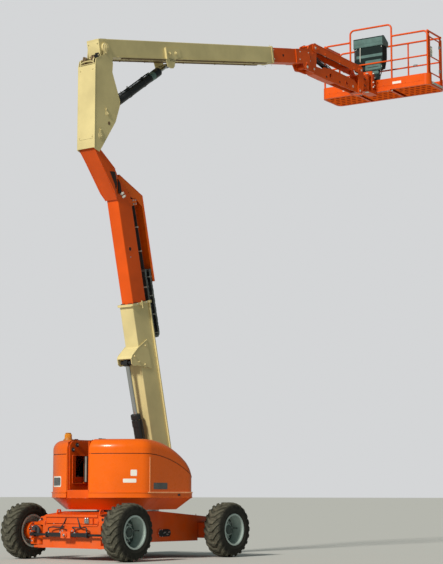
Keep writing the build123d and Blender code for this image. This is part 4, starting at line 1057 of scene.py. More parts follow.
for k in range(6):
    x = -0.02 + 0.05 * k
    add_box(bank, (x, -0.345, 0.98), (x + 0.046, -0.265, 1.11), edge=0.004)
    add_turned(bank, capped((0.018, 0.05), (0.012, 0.056)), aimed((x + 0.023, -0.305, 1.108), UP), 18)
    add_turned(bank, capped((0.015, 0.02), (0.01, 0.025)), aimed((x + 0.023, -0.345, 1.03), RIGHT), 6)
finished("valve_bank", bank, "turntable", zinc)
lines = bmesh.new()
for k in range(6):
    x = 0.003 + 0.05 * k
    add_tube(lines, smooth_run([(x, -0.305, 0.985), (x, -0.305, 0.9), (x + 0.01, -0.28, 0.85),
                                (x + 0.02, -0.26, 0.812)], 6), 0.009)
finished("valve_hoses", lines, "turntable", hose_rubber)
ballast = bmesh.new()
for side in (-1, 1):
    for x, y in ((-0.75, 0.4), (-0.75, 0.66), (-0.95, 0.4)):
        add_bolt(ballast, (x, side * y, 1.279), UP, 0.022)
finished("ballast_bolts", ballast, "turntable", zinc)
ribs = bmesh.new()
pan_line = [(x, y) for (x, y), _ in hood_plan(-0.0005)]
for flip in (-1, 1):
    add_tube(ribs, [(x, flip * y, 0.9485) for x, y in pan_line if x > -0.43], 0.006, sides=8)
add_weld(ribs, [(-0.43, -0.78, 0.772), (-0.43, 0.78, 0.772)], radius=0.006)
finished("pan_beads", ribs, "turntable", orange)
print("turntable dressed")

# %% [markdown]
# ## Tower boom
# The tower is two welded box sections, one inside the other. Wear pads show at the collar, pins have caps and
# keeper plates so they can't turn or drift out, and every joint has a weld bead. Those three things make a
# plain box look like a boom. They are small and repeat, so each kind goes through one helper.

# %% Pins and pads
def add_pin_cap(form, at, side, place, radius, thick=0.01):
    """Domed end of a pin with a grease nipple, on one side of a joint."""
    base = place @ aimed(at, (0, side, 0))
    add_turned(form, [(0, -0.004), (radius, -0.004), (radius, thick * 0.6), (radius * 0.9, thick),
                      (radius * 0.3, thick), (radius * 0.26, thick + 0.004), (0.005, thick + 0.006),
                      (0, thick + 0.01)], base, 36)


def add_keeper(form, at, side, place, angle, length=0.11):
    """Flat keeper plate with a bolt, which holds a pin from turning."""
    turn = place @ aimed(at, (0, side, 0)) @ Matrix.Rotation(radians(angle), 4, "Z")
    add_box(form, (0, -0.022, -0.001), (length, 0.022, 0.008), turn, 0.003)
    add_bolt(form, (length - 0.022, 0, 0.008), UP, 0.01, turn)


def add_pads(form, bolts, place, along, depth, width, proud):
    """Slippery pads between two box sections, two on each of the four faces, with their bolts."""
    for face in (-1, 1):
        for spot in (-0.3, 0.3):
            add_box(form, (spot * depth - 0.045, face * width / 2 - proud, along - 0.004),
                    (spot * depth + 0.045, face * width / 2 + proud, along + 0.01), place, 0.002)
            add_box(form, (face * depth / 2 - proud, spot * width - 0.035, along - 0.004),
                    (face * depth / 2 + proud, spot * width + 0.035, along + 0.01), place, 0.002)
            add_bolt(bolts, (spot * depth, face * (width / 2 + 0.041), along - 0.016), (0, face, 0), 0.007,
                     place)
            add_bolt(bolts, (face * (depth / 2 + 0.041), spot * width, along - 0.016), (face, 0, 0), 0.007,
                     place)


# %% Lower section of the tower
TOWER = pinned(TOWER_FOOT, 13.3)     # first axis across the tower, third axis up it
pads, steel = blanks(2)
add_pads(pads, steel, TOWER, 2.74, 0.375, 0.26, 0.016)
finished("tower_wear_pads", pads, "tower", black_plastic, "black_paint")
plates = bmesh.new()
for side in (-1, 1):
    outer = side * 0.1535
    for across, along in ((-0.35, 1.905), (-0.26, 1.8), (-0.12, 1.73), (-0.05, 2.03)):
        add_bolt(plates, (across, outer, along), (0, side, 0), 0.014, TOWER)
    for k in range(6):
        t = radians(60 * k)
        add_bolt(steel, (0.07 * cos(t), side * 0.1945, 0.07 * sin(t)), (0, side, 0), 0.009, TOWER)
    # stiffening frame round the clevis mouth, and a lip along its lower edge
    add_box(plates, (-0.442, side * 0.146 - 0.008, 1.79), (-0.43, side * 0.146 + 0.008, 1.882), TOWER, 0.003)
    add_weld(plates, [(0.013, side * 0.1535, 2.121), (-0.215, side * 0.1535, 2.036),
                      (-0.408, side * 0.1535, 1.925), (-0.44, side * 0.1535, 1.88)], TOWER, 0.004)
    add_weld(plates, [(0.013, side * 0.142, 2.125), (0.032, side * 0.142, 1.636),
                      (-0.2, side * 0.142, 1.704)], TOWER, 0.006)
    add_weld(plates, [(0.202, side * 0.132, -0.15), (0.202, side * 0.132, 2.7)], TOWER, 0.0045)
    add_weld(plates, [(-0.202, side * 0.132, -0.15), (-0.202, side * 0.132, 1.72)], TOWER, 0.0045)
    add_weld(plates, [(-0.238, side * 0.142, 2.706), (0.238, side * 0.142, 2.706)], TOWER, 0.006)
    add_box(plates, (0.18, side * 0.168 - 0.012, 2.702), (0.2365, side * 0.168 + 0.006, 2.746), TOWER, 0.003)
    add_box(plates, (0.19, side * 0.154 - 0.015, 0.25), (0.2115, side * 0.154 + 0.015, 2.7), TOWER, 0.003)
for across in (-0.239, 0.239):
    add_weld(plates, [(across, -0.142, 2.706), (across, 0.142, 2.706)], TOWER, 0.006)
add_box(plates, (-0.432, -0.138, 1.868), (-0.424, 0.138, 1.884), TOWER, 0.003)
add_box(plates, (-0.01, -0.186, 2.64), (0.01, -0.166, 2.765), TOWER, 0.003)
add_box(plates, (-0.04, -0.176, 2.69), (0.04, -0.166, 2.742), TOWER, 0.003)
finished("tower_lips_and_welds", plates, "tower", cream)
add_box(steel, (0.2365, -0.06, 2.64), (0.242, 0.02, 2.7), TOWER, 0.002)
finished("tower_bolts", steel, "tower", zinc)
clamp = bmesh.new()
for y in (-0.11, -0.085):
    add_tube(clamp, smooth_run([(0.216, y, 0.42), (0.218, y, 1.2), (0.218, y, 2.0), (0.218, y, 2.62)], 4),
             0.009, TOWER)
for along in (0.6, 1.15, 1.7, 2.25):
    add_box(clamp, (0.209, -0.128, along), (0.231, -0.067, along + 0.03), TOWER, 0.004)
finished("tower_pipes", clamp, "tower", black)
print("lower tower done")

# %% Tower cylinder fittings
head = bmesh.new()
base, eye = Vector((0.48, 0, 1.1)), Vector((-0.045, 0, 3.12))
line = (eye - base).normalized()
RAM = aimed(base, line)
add_turned(head, [(0.076, 1.15), (0.084, 1.154), (0.084, 1.225), (0.078, 1.232), (0.078, 1.236), (0.04, 1.24),
                  (0.0375, 1.24), (0.0375, 1.15)], RAM, 40, ring=True)
for k in range(8):
    t = 2 * pi * k / 8
    add_bolt(head, (0.062 * cos(t), 0.062 * sin(t), 1.237), UP, 0.006, RAM)
finished("tower_barrel_gland", head, "tower_barrel", black)
supply = bmesh.new()
add_tube(supply, smooth_run([(0.078, 0.02, 0.15), (0.092, 0.02, 0.2), (0.092, 0.02, 0.7), (0.092, 0.02, 1.1),
                             (0.08, 0.02, 1.15)], 6), 0.009, RAM)
for along in (0.3, 0.75):
    add_turned(supply, [(0.0755, 0), (0.08, 0.003), (0.08, 0.027), (0.0755, 0.03)], RAM @ placed(0, 0, along),
               36, ring=True)
finished("tower_barrel_pipe", supply, "tower_barrel", hose_rubber)
rod_eye = TOWER @ placed(-0.3798, 0, 1.8062) @ aimed((0, 0, 0), LEFT)
eye_cover = bmesh.new()
add_turned(eye_cover, [(0.0585, -0.0425), (0.06, -0.041), (0.06, 0.041), (0.0585, 0.0425), (0.031, 0.043),
                       (0.031, 0.117), (0.0318, 0.117), (0.0318, 0.0435), (0.0575, 0.0435), (0.0575, -0.0435),
                       (0.0318, -0.0435), (0.0318, -0.117), (0.031, -0.117), (0.031, -0.043)], rod_eye, 44,
           ring=True)
finished("tower_rod_eye", eye_cover, "tower_rod", black, "rod")
print("tower cylinder dressed")

# %% Upper section of the tower
UPRIGHT_FOOT = (-0.93, 6.7)          # pin between the neck and the upright
welds, steel, fly_shade = blanks(3)
for side in (-1, 1):
    for across in (-0.159, 0.159):
        add_weld(welds, [(across, side * 0.1075, 2.8), (across, side * 0.1075, 4.45)], TOWER, 0.003)
    neck = [(-0.47, 5.74), (-1.04, 6.46), (-1.058, 6.6)]
    add_weld(welds, [(x, side * (0.121 if x > -0.5 else 0.161), z) for x, z in neck], radius=0.006)
    crest = [(-0.792, 6.69), (-0.93, 6.492), (-0.56, 6.225)]
    add_weld(welds, [(x, side * 0.161, z) for x, z in crest], radius=0.006)
    # doubler plates where the neck is cranked, and round the adjusting hole
    hub = TOWER @ sided(-0.04, 0.12, 3.627, side)
    add_turned(welds, [(0.03, -0.002), (0.046, -0.002), (0.046, 0.001), (0.044, 0.0018), (0.033, 0.0018),
                       (0.03, 0.001)], hub, 32, ring=True)
    # a dark disc in the adjusting hole: painted shade
    add_turned(fly_shade, [(0, 0.0004), (0.03, 0.0004), (0.03, 0.0012), (0, 0.0012)], hub, 24)
    add_turned(steel, [(0, 0), (0.012, 0), (0.012, 0.001), (0, 0.0014)],
               TOWER @ sided(-0.055, 0.12, 3.495, side), 20)
    add_turned(welds, collar(0.1, (0.119, 0.006), (0.112, 0.01)),
               sided(UPRIGHT_FOOT[0], 0.158, UPRIGHT_FOOT[1], side), 40, ring=True)
finished("tower_fly_welds", welds, "tower_extension", orange_boom)
finished("tower_fly_bolts", steel, "tower_extension", zinc)
# painted shade: dark plates in the opening under the guard's tail, with the hose end that comes out of it
mouth = [(-0.69, 6.165), (-0.59, 6.178), (-0.56, 6.172), (-0.505, 5.99), (-0.52, 5.9)]
for side in (-1, 1):
    low, high = sorted((side * 0.1535, side * 0.1622))
    add_plate(fly_shade, mouth, low, high)
    low, high = sorted((side * 0.1225, side * 0.135))
    add_plate(fly_shade, [(-0.455, 6.08), (-0.4, 6.02), (-0.36, 5.86), (-0.44, 5.84)], low, high)
# a dark disc for a hole in the neck: painted shade
add_disc(fly_shade, 0.022, 0.003, aimed((-1.055, -0.03, 6.56), (-0.99, 0, 0.05)), 20)
elbow = bmesh.new()
for y, x, z in ((-0.14, -0.372, 5.842), (-0.144, -0.335, 5.8)):
    add_turned(elbow, [(0, 0), (0.02, 0), (0.026, 0.006), (0.026, 0.034), (0.018, 0.044), (0.018, 0.062),
                       (0, 0.066)],
               aimed((x, y + 0.022, z), (0.2, -0.92, 0.3)), 6)
finished("neck_hose_ends", elbow, "tower_extension", pipe_pale)
finished("tower_fly_painted_shade", fly_shade, "tower_extension", seam_shadow)

# %% Guard: rolled lips, brackets and bolts
GUARD_EDGE = [(0.495, 3.03), (0.495, 4.458), (-0.009, 4.85)]
lips, steel = blanks(2)
for side in (-1, 1):
    add_tube(lips, [(a, side * 0.088, b) for a, b in GUARD_EDGE], 0.006, TOWER, sides=8)
for along in (3.3, 3.72, 4.14):
    add_box(lips, (0.4955, -0.06, along), (0.5005, 0.06, along + 0.09), TOWER, 0.002)
    for y in (-0.035, 0.035):
        add_bolt(steel, (0.5, y, along + 0.045), (1, 0, 0), 0.008, TOWER)
add_box(lips, (0.458, -0.0935, 3.03), (0.497, -0.086, 3.08), TOWER, 0.002)
for side in (-1, 1):
    add_weld(lips, [(0.168, side * 0.09, 4.318), (0.168, side * 0.09, 4.432)], TOWER, 0.006)
    for along in (4.345, 4.405):
        for across in (0.24, 0.3):
            add_bolt(steel, (across, side * 0.094, along), (0, side, 0), 0.01, TOWER)
finished("guard_lips", lips, "tower_extension", orange_boom)
finished("guard_bolts", steel, "tower_extension", zinc)
print("upper tower done")

# %% [markdown]
# ## Cable carrier
# Hoses and cables reach the moving section through a chain of links that folds over on itself. In the solid
# model it is a smooth band. Here it's what it is: 29 links along a path of two straight runs and a half
# circle, with steel side rails, bright cross-bars at every fourth link, and the hoses inside.

# %% The carrier's path
LINK = 0.0775
LOOP_X, LOOP_Z, LOOP_R = 0.371, 2.19, 0.058
OUTER_TOP, INNER_TOP = 3.235, 3.235


def carrier_point(travel):
    """Place and heading, in the tower's frame, at a distance from the outer run's top."""
    outer, bend = OUTER_TOP - LOOP_Z, pi * LOOP_R
    if travel < outer:
        return Vector((LOOP_X + LOOP_R, 0, OUTER_TOP - travel)), -pi / 2
    if travel < outer + bend:
        t = (travel - outer) / LOOP_R
        return Vector((LOOP_X + LOOP_R * cos(t), 0, LOOP_Z - LOOP_R * sin(t))), -pi / 2 - t
    return Vector((LOOP_X - LOOP_R, 0, LOOP_Z + travel - outer - bend)), pi / 2


whole = (OUTER_TOP - LOOP_Z) + pi * LOOP_R + (INNER_TOP - LOOP_Z)
count = int(whole / LINK)
rails, bars, bright = blanks(3)
for k in range(count):
    centre, heading = carrier_point((k + 0.5) * whole / count)
    link = TOWER @ Matrix.Translation(centre) @ Matrix.Rotation(-heading, 4, "Y")
    half = LINK * 0.56
    shape = [(-half, -0.01), (-half + 0.01, -0.021), (half - 0.01, -0.021), (half, -0.01), (half, 0.01),
             (half - 0.01, 0.021), (-half + 0.01, 0.021), (-half, 0.01)]
    for side in (-1, 1):
        shift = 0.004 if k % 2 else 0
        low, high = sorted((side * (0.07 - shift), side * (0.076 - shift)))
        add_plate(rails, shape, low, high, link)
        add_disc(rails, 0.007, 0.003, link @ sided(half * 0.8, 0.0745, 0, side), 10)
    target = bright if k % 4 == 1 else bars
    for z in (-0.0195, 0.0195):
        add_box(target, (-0.012, -0.074, z - 0.0035), (0.012, 0.074, z + 0.0035), link, 0.001)
rail_piece = finished("carrier_side_links", rails, "tower_extension", carrier_steel, "track_plastic")
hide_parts("power_track")
finished("carrier_dark_bars", bars, "tower_extension", black_plastic, "track_plastic")
finished("carrier_bright_bars", bright, "tower_extension", pipe_pale)
print("carrier links:", count)

# %% Hoses inside the carrier and the guard
hoses = bmesh.new()
for y, r in ((-0.05, 0.012), (-0.022, 0.0145), (0.01, 0.012), (0.036, 0.01), (0.056, 0.009)):
    run = []
    for k in range(60):
        centre, _ = carrier_point(whole * k / 59)
        run.append((centre.x, y, centre.z))
    run += [(LOOP_X - LOOP_R - 0.005 * t, y, INNER_TOP + 0.24 * t) for t in (1, 2, 3, 4)]
    run += [(0.29, y, 4.4), (0.2, y, 4.555), (0.06, y, 4.68)]
    add_tube(hoses, run, r, TOWER)
finished("carrier_hoses", hoses, "tower_extension", hose_rubber)
ends = bmesh.new()
add_box(ends, (0.405, -0.082, 3.2), (0.458, 0.082, 3.245), TOWER, 0.004)
add_box(ends, (0.288, -0.082, 3.215), (0.336, 0.082, 3.255), TOWER, 0.004)
for y in (-0.05, 0.05):
    add_box(ends, (0.33, y - 0.01, 3.235), (0.49, y + 0.01, 3.248), TOWER, 0.002)
finished("carrier_end_brackets", ends, "tower_extension", carrier_steel, "steel")
clips = bmesh.new()
for along in (3.55, 3.95):
    add_box(clips, (0.272, -0.072, along), (0.306, 0.083, along + 0.022), TOWER, 0.003)
finished("hose_clips", clips, "tower_extension", pipe_pale)
print("carrier done")

# %% [markdown]
# ## Upright and main boom
# The upright carries three pins, with keeper plates outside its cheeks, and hoses loop out of its open top
# into the boom. The loops are bent tubes fixed at both ends to the upright, so nothing has to stretch when
# the boom lifts.

# %% Upright
LIFT_FOOT, BOOM_TAIL = (-0.777, 7.092), (-0.8, 8.19)      # pins of the cylinder and of the boom
steel, trim, dark = blanks(3)
for side in (-1, 1):
    face = side * 0.1865
    # each pin: place, radius of its cap and of its boss, the keeper's lean and length
    for (x, z), cap, r, lean, length in ((UPRIGHT_FOOT, 0.04, 0.064, -10, 0.12),
                                         (BOOM_TAIL, 0.042, 0.062, 20, 0.13),
                                         (LIFT_FOOT, 0.028, 0.048, -30, 0.1)):
        add_pin_cap(steel, (x, face + side * 0.004, z), side, WORLD, cap)
        add_keeper(trim, (x, face, z), side, WORLD, (270 if lean > 0 else 90) + side * lean, length)
        add_turned(trim, collar(r * 0.7, (r, 0.004), (r * 0.95, 0.006)),
                   sided(x, 0.1855, z, side), 36, ring=True)
    front = [(-0.966, 6.439), (-0.588, 6.995), (-0.487, 7.285), (-0.487, 7.362), (-0.679, 7.8),
             (-0.666, 7.95)]
    for (x0, z0), (x1, z1) in zip(front, front[1:]):
        lean = atan2(z1 - z0, x1 - x0)
        edge_strip = Matrix.Translation((x0, side * 0.18, z0)) @ Matrix.Rotation(-lean, 4, "Y")
        add_box(trim, (0.002, -0.0075, -0.004), (hypot(x1 - x0, z1 - z0) - 0.002, 0.0075, 0.003), edge_strip,
                0.001)
    add_weld(trim, [(-1.084, side * 0.187, 6.482), (-1.084, side * 0.187, 7.87)], radius=0.004)
    add_weld(trim, [(-1.06, side * 0.187, 7.955), (-0.95, side * 0.187, 8.018)], radius=0.004)
    add_box(trim, (-1.0865, side * 0.12 - 0.045, 6.502), (-1.084, side * 0.12 + 0.045, 6.57), edge=0.001)
# rear cover plate with its screws
add_box(trim, (-1.0895, -0.15, 6.64), (-1.0855, 0.15, 6.7), edge=0.001)
for y in (-0.135, 0.135):
    add_bolt(steel, (-1.089, y, 6.67), BACK, 0.008)
    add_bolt(steel, (-1.086, y, 7.78), BACK, 0.009)
add_turned(dark, [(0, 0), (0.026, 0), (0.03, 0.0035), (0.02, 0.0045), (0, 0.0045)],
           aimed((-0.744, -0.186, 7.071 - 0.13), RIGHT), 28)
finished("upright_trim", trim, "upright", cream)
finished("upright_pins", steel, "upright", cream, "steel")
finished("upright_plugs", dark, "upright", plug_brown, "black_paint")

# %% Hose loops at the top of the upright
loops, guides = blanks(2)
for k, y in enumerate((-0.115, -0.075, 0.06, 0.1)):
    high = 8.0 + 0.014 * (k % 2)
    run = smooth_run([(-1.02, y, 7.78), (-1.052, y, 7.86), (-1.062, y, high - 0.05), (-1.045, y, high),
                      (-1.022, y * 0.9, high - 0.07), (-1.01, y * 0.85, 7.82)], 8)
    add_tube(loops, run, 0.0125)
# a dark plate across the upright's open top, behind the loops: painted shade
add_box(loops, (-1.07, -0.172, 7.838), (-0.96, 0.172, 7.844), edge=0.001)
finished("upright_hose_loops", loops, "upright", plug_brown, "black_paint")
for side in (-1, 1):
    hook = smooth_run([(-1.08, side * 0.14, 7.86), (-1.082, side * 0.14, 7.93), (-1.06, side * 0.14, 7.965),
                       (-1.02, side * 0.13, 7.94), (-1.012, side * 0.125, 7.87)], 8)
    add_tube(guides, hook, 0.0095, sides=10)
add_tube(guides, smooth_run([(-1.08, -0.142, 7.9), (-1.084, -0.06, 7.92), (-1.084, 0.06, 7.92),
                             (-1.08, 0.142, 7.9)], 8), 0.0095)
add_box(guides, (-1.086, -0.176, 7.855), (-1.072, 0.176, 7.878), edge=0.003)
finished("upright_hose_guide", guides, "upright", cream)
print("upright dressed")

# %% Main boom
BOOM = pinned(BOOM_TAIL, 11.2)       # first axis out along the boom
LIFT_EYE = (0.883, 8.27)             # pin of the cylinder's rod, in the boom's bracket
pads, steel, trim, dark = blanks(4)
ALONG_BOOM = BOOM @ Matrix.Rotation(radians(90), 4, "Y")    # third axis out along the boom, first axis down
add_pads(pads, steel, ALONG_BOOM, 4.725, 0.284, 0.242, 0.009)
finished("boom_wear_pads", pads, "boom", black_plastic, "black_paint")
for side in (-1, 1):
    add_weld(trim, [(-0.1, side * 0.1225, 0.1455), (4.68, side * 0.1225, 0.1455)], BOOM, 0.0045)
    add_weld(trim, [(-0.1, side * 0.1225, -0.1455), (4.68, side * 0.1225, -0.1455)], BOOM, 0.006)
    add_weld(trim, [(4.685, side * 0.139, -0.15), (4.685, side * 0.139, 0.15)], BOOM, 0.005)
    add_box(trim, (0.3, side * 0.1335 - 0.0045, -0.15), (4.6, side * 0.1335 + 0.0045, -0.13), BOOM, 0.002)
    # mounting pads and bolts of the cylinder's bracket
    for x, z in ((1.649, -0.061), (1.815, -0.048)):
        add_turned(trim, capped((0.036, 0.005), (0.032, 0.008)), BOOM @ sided(x, 0.1405, z, side), 30)
        add_bolt(trim, (x, side * 0.1485, z), (0, side, 0), 0.019, BOOM)
    # dark strips on the cylinder's bracket: painted shade between its ribs
    for k in range(4):
        slot = BOOM @ placed(1.64 + 0.036 * k, side * 0.1412, -0.16 - 0.004 * k, 20)
        add_box(dark, (-0.006, -0.0012, -0.028), (0.006, 0.0012, 0.028), slot, 0.0005)
    add_pin_cap(steel, (LIFT_EYE[0], side * 0.121, LIFT_EYE[1]), side, WORLD, 0.028, 0.008)
    for k in range(6):
        t = radians(60 * k + 15)
        add_bolt(steel, (0.066 * cos(t), side * 0.169, 0.066 * sin(t)), (0, side, 0), 0.008, BOOM)
add_weld(trim, [(4.685, -0.139, 0.1585), (4.685, 0.139, 0.1585)], BOOM, 0.005)
# rounded cap over the boom's tail
cap = [(-0.132, -0.146), (-0.132, 0.11), (-0.118, 0.138), (-0.09, 0.1525), (0.06, 0.1525), (0.06, 0.1475),
       (-0.088, 0.1475), (-0.112, 0.134), (-0.1265, 0.108), (-0.1265, -0.146)]
add_plate(trim, cap, -0.126, 0.126, BOOM)
for y in (-0.095, 0.095):
    for z in (-0.11, 0.08):
        add_bolt(trim, (-0.1325, y, z), (-1, 0, 0), 0.01, BOOM)
# painted shade: dark plates for the mouth at the foot of the tail, where the hoses come in
add_box(dark, (-0.135, -0.118, -0.144), (-0.132, 0.06, -0.09), BOOM, 0.001)
add_box(dark, (-0.135, -0.1, -0.091), (-0.132, -0.02, -0.07), BOOM, 0.001)
finished("boom_trim", trim, "boom", cream)
finished("boom_bolts", steel, "boom", pipe_pale)
finished("boom_painted_shade", dark, "boom", black)
tray = bmesh.new()
for y, r in ((-0.112, 0.01), (-0.089, 0.009), (0.11, 0.01)):
    add_tube(tray, [(x, y, -0.162) for x in (0.42, 1.2)] + [(1.3, y, -0.164)]
             + [(x, y, -0.162) for x in (2.0, 3.2, 4.4)]
             + [(4.5, y, -0.158)], r, BOOM)
for x in (0.6, 1.25, 2.3, 3.2, 4.1):
    for low, high in ((-0.124, -0.078), (0.097, 0.123)):
        add_box(tray, (x, low, -0.1755), (x + 0.022, high, -0.15), BOOM, 0.003)
finished("boom_underside_pipes", tray, "boom", plug_brown, "black_paint")

# %% Main cylinder
base, eye = (Vector((x, 0, z)) for x, z in (LIFT_FOOT, LIFT_EYE))
LIFT = aimed(base, eye - base)
above = LIFT.to_3x3().inverted() @ Vector((-0.57, 0, 0.82))
above = Vector((above.x, above.y, 0)).normalized()
turn = LIFT @ Matrix.Rotation(atan2(above.y, above.x), 4, "Z")    # first axis now points up from the barrel
head, pipe, joints = blanks(3)
add_turned(head, [(0.0705, 1.52), (0.0745, 1.524), (0.0745, 1.77), (0.0715, 1.797), (0.07, 1.7985),
                  (0.0385, 1.7985), (0.0385, 1.79), (0.069, 1.79)], turn, 44, ring=True)
for k in range(8):
    t = 2 * pi * k / 8
    add_bolt(head, (0.055 * cos(t), 0.055 * sin(t), 1.7985), UP, 0.006, turn)
finished("main_barrel_head", head, "main_barrel", teal_head)
add_tube(pipe, smooth_run([(0.07, 0.026, 0.18), (0.094, 0.026, 0.23), (0.096, 0.026, 0.6),
                           (0.096, 0.026, 1.1), (0.096, 0.026, 1.46), (0.074, 0.02, 1.54)], 6), 0.0105, turn)
add_tube(pipe, smooth_run([(0.07, -0.02, 0.15), (0.1, -0.022, 0.19), (0.102, -0.022, 0.5),
                           (0.086, -0.022, 0.7), (0.072, -0.022, 0.74)], 6), 0.0095, turn)
for along in (0.42, 0.86, 1.3):
    add_turned(pipe, [(0.0705, 0), (0.0755, 0.003), (0.0755, 0.032), (0.0705, 0.035)],
               turn @ placed(0, 0, along), 36, ring=True)
    add_box(pipe, (0.07, 0.004, along), (0.108, 0.048, along + 0.035), turn, 0.004)
finished("main_barrel_pipes", pipe, "main_barrel", hose_rubber)
for x, y, z in ((0.085, 0.026, 0.215), (0.092, -0.022, 0.2), (0.08, 0.022, 1.52), (0.109, 0.026, 0.875),
                (0.109, 0.026, 0.437), (0.08, -0.022, 0.735)):
    add_turned(joints, capped((0.014, 0.014), (0.009, 0.018), (0.009, 0.024)),
               turn @ aimed((x, y, z), (1, 0, 0)), 6)
add_box(joints, (-0.055, -0.04, 0.12), (0.08, 0.04, 0.165), turn, 0.006)
finished("main_barrel_joints", joints, "main_barrel", zinc)
print("main boom dressed")

# %% Inner section of the boom and its nose
NOSE_PIN = (4.935, 9.11)
steel, trim, dark = blanks(3)
for side in (-1, 1):
    add_weld(trim, [(4.75, side * 0.1112, 0.1345), (5.36, side * 0.1112, 0.1345)], BOOM, 0.0025)
    nose = [(4.56, 9.388), (4.756, 9.428), (4.955, 9.48), (5.036, 9.455)]
    add_weld(trim, [(x, side * 0.131, z - 0.004) for x, z in nose], radius=0.004)
    add_weld(trim, [(4.56, side * 0.131, 9.388), (4.6, side * 0.131, 9.122), (4.805, side * 0.131, 9.163)],
             radius=0.004)
    add_turned(trim, collar(0.028, (0.052, 0.005), (0.047, 0.009)),
               sided(NOSE_PIN[0], 0.129, NOSE_PIN[1], side), 36, ring=True)
    # a dark disc on each side of the nose: painted shade
    add_turned(dark, [(0, 0.001), (0.024, 0.001), (0.024, 0.002), (0, 0.002)],
               BOOM @ sided(5.07, 0.115, 0, side), 24)
    add_pin_cap(steel, (NOSE_PIN[0], side * 0.138, NOSE_PIN[1]), side, WORLD, 0.028, 0.006)
    add_keeper(trim, (NOSE_PIN[0], side * 0.13, NOSE_PIN[1]), side, WORLD, 100 if side < 0 else 80, 0.095)
    for x, z in ((4.7, 9.36), (4.7, 9.21), (4.98, 9.4)):
        add_bolt(steel, (x, side * 0.13, z), (0, side, 0), 0.009)
finished("nose_trim", trim, "boom_extension", orange_boom)
finished("nose_pins", steel, "boom_extension", pipe_pale)
finished("nose_painted_shade", dark, "boom_extension", seam_shadow)
print("nose dressed")

# %% [markdown]
# ## Jib
# The jib is two parallel arms between a knuckle and a head, so the head stays level as the jib lifts. On the
# real machine the arms pivot on pins with keeper plates, and hoses for the rotator run along the lower arm in
# clips. Short runs that stay on one arm are enough here, since each run ends behind the plates at both of its
# ends.

# %% Knuckle and jib arms
JIB_FOOT, JIB_TOP_FOOT, JIB_LENGTH = (5.2, 9.13), (5.22, 9.55), 1.62      # pins of the arms, and their length
JIB, JIB_TOP = pinned(JIB_FOOT, -3.5), pinned(JIB_TOP_FOOT, -3.5)
KNUCKLE_EYE = (5.16, 9.427)          # pin of the jib cylinder
steel, trim, dark = blanks(3)
for side in (-1, 1):
    add_turned(trim, collar(0.026, (0.05, 0.004), (0.046, 0.007)),
               sided(JIB_FOOT[0], 0.107, JIB_FOOT[1], side), 36, ring=True)
    add_pin_cap(steel, (JIB_FOOT[0], side * 0.107, JIB_FOOT[1]), side, WORLD, 0.026, 0.007)
    add_pin_cap(steel, (JIB_TOP_FOOT[0], side * 0.13, JIB_TOP_FOOT[1]), side, WORLD, 0.025, 0.007)
    add_weld(trim, [(4.962, side * 0.1075, 9.395), (5.022, side * 0.1075, 9.552),
                    (5.15, side * 0.1075, 9.615)], radius=0.004)
    # a dark disc on each cheek: painted shade
    add_disc(dark, 0.034, 0.0012, sided(5.05, 0.1115, 9.335, side), 32)
    add_disc(steel, 0.015, 0.0035, sided(5.07, 0.1072, 9.262, side), 6)
    for x, z in ((5.105, 9.575), KNUCKLE_EYE, (5.0, 9.18)):
        add_turned(trim, [(0, 0), (0.024, 0), (0.026, 0.003), (0.02, 0.005), (0, 0.005)],
                   sided(x, 0.107, z, side), 28)
finished("knuckle_trim", trim, "jib_knuckle", orange_boom)
finished("knuckle_pins", steel, "jib_knuckle", pipe_pale)
finished("knuckle_painted_shade", dark, "jib_knuckle", seam_shadow)

trim, steel, dark, hoses = blanks(4)
for side in (-1, 1):
    for x in (0.6, 1.18):
        add_turned(trim, collar(0.042, (0.056, 0.003), (0.052, 0.005)),
                   JIB @ sided(x, 0.08, 0.04, side), 40, ring=True)
    add_weld(trim, [(0.6, side * 0.079, 0.179), (1.28, side * 0.079, 0.179)], JIB, 0.0035)
    for x in (0, JIB_LENGTH):
        add_turned(trim, collar(0.026, (0.046, 0.004)), JIB @ sided(x, 0.08, 0, side), 32, ring=True)
    add_bolt(trim, (0.85, side * 0.08, 0.12), (0, side, 0), 0.01, JIB)
    # two dark discs on each side: painted shade
    for x, z in ((0.47, -0.02), (0.93, 0)):
        add_turned(dark, [(0, 0), (0.019, 0), (0.021, 0.002), (0, 0.002)], JIB @ sided(x, 0.08, z, side), 24)
    add_disc(steel, 0.024, 0.006, JIB @ sided(1.4, 0.0805, 0.035, side), 28)
for y in (-0.0575, 0.0575):
    add_tube(hoses, smooth_run([(0.12, y, -0.066), (0.35, y, -0.06), (0.5, y, -0.054), (0.72, y, -0.05)], 6),
             0.0068, JIB)
finished("jib_lower_trim", trim, "jib_lower_arm", orange_boom)
finished("jib_lower_bolts", steel, "jib_lower_arm", pipe_pale)
finished("jib_lower_painted_shade", dark, "jib_lower_arm", seam_shadow)
finished("jib_lower_hoses", hoses, "jib_lower_arm", hose_rubber)

trim, steel, hoses = blanks(3)
for side in (-1, 1):
    for x in (0, JIB_LENGTH):
        add_turned(trim, collar(0.028, (0.048, 0.004), (0.044, 0.006)),
                   JIB_TOP @ sided(x, 0.126, 0, side), 36, ring=True)
        add_keeper(trim, (x, side * 0.126, 0), side, JIB_TOP,
                   (0 if x < 1 else 180) if side < 0 else (180 if x < 1 else 0), 0.105)
    add_weld(trim, [(0.05, side * 0.1262, 0.076), (1.6, side * 0.1262, 0.076)], JIB_TOP, 0.0035)
    for x in (0.34, 0.845, 1.36):
        add_bolt(trim, (x, side * 0.126, -0.03), (0, side, 0), 0.012, JIB_TOP)
        add_box(steel, (x - 0.02, side * 0.12 - 0.0055, -0.082), (x + 0.02, side * 0.12 + 0.0055, -0.069),
                JIB_TOP, 0.003)
for y in (-0.1, 0.1):
    add_tube(hoses, straight((0.15, y, 0.055), (1.47, y, 0.055), 8), 0.009, JIB_TOP)
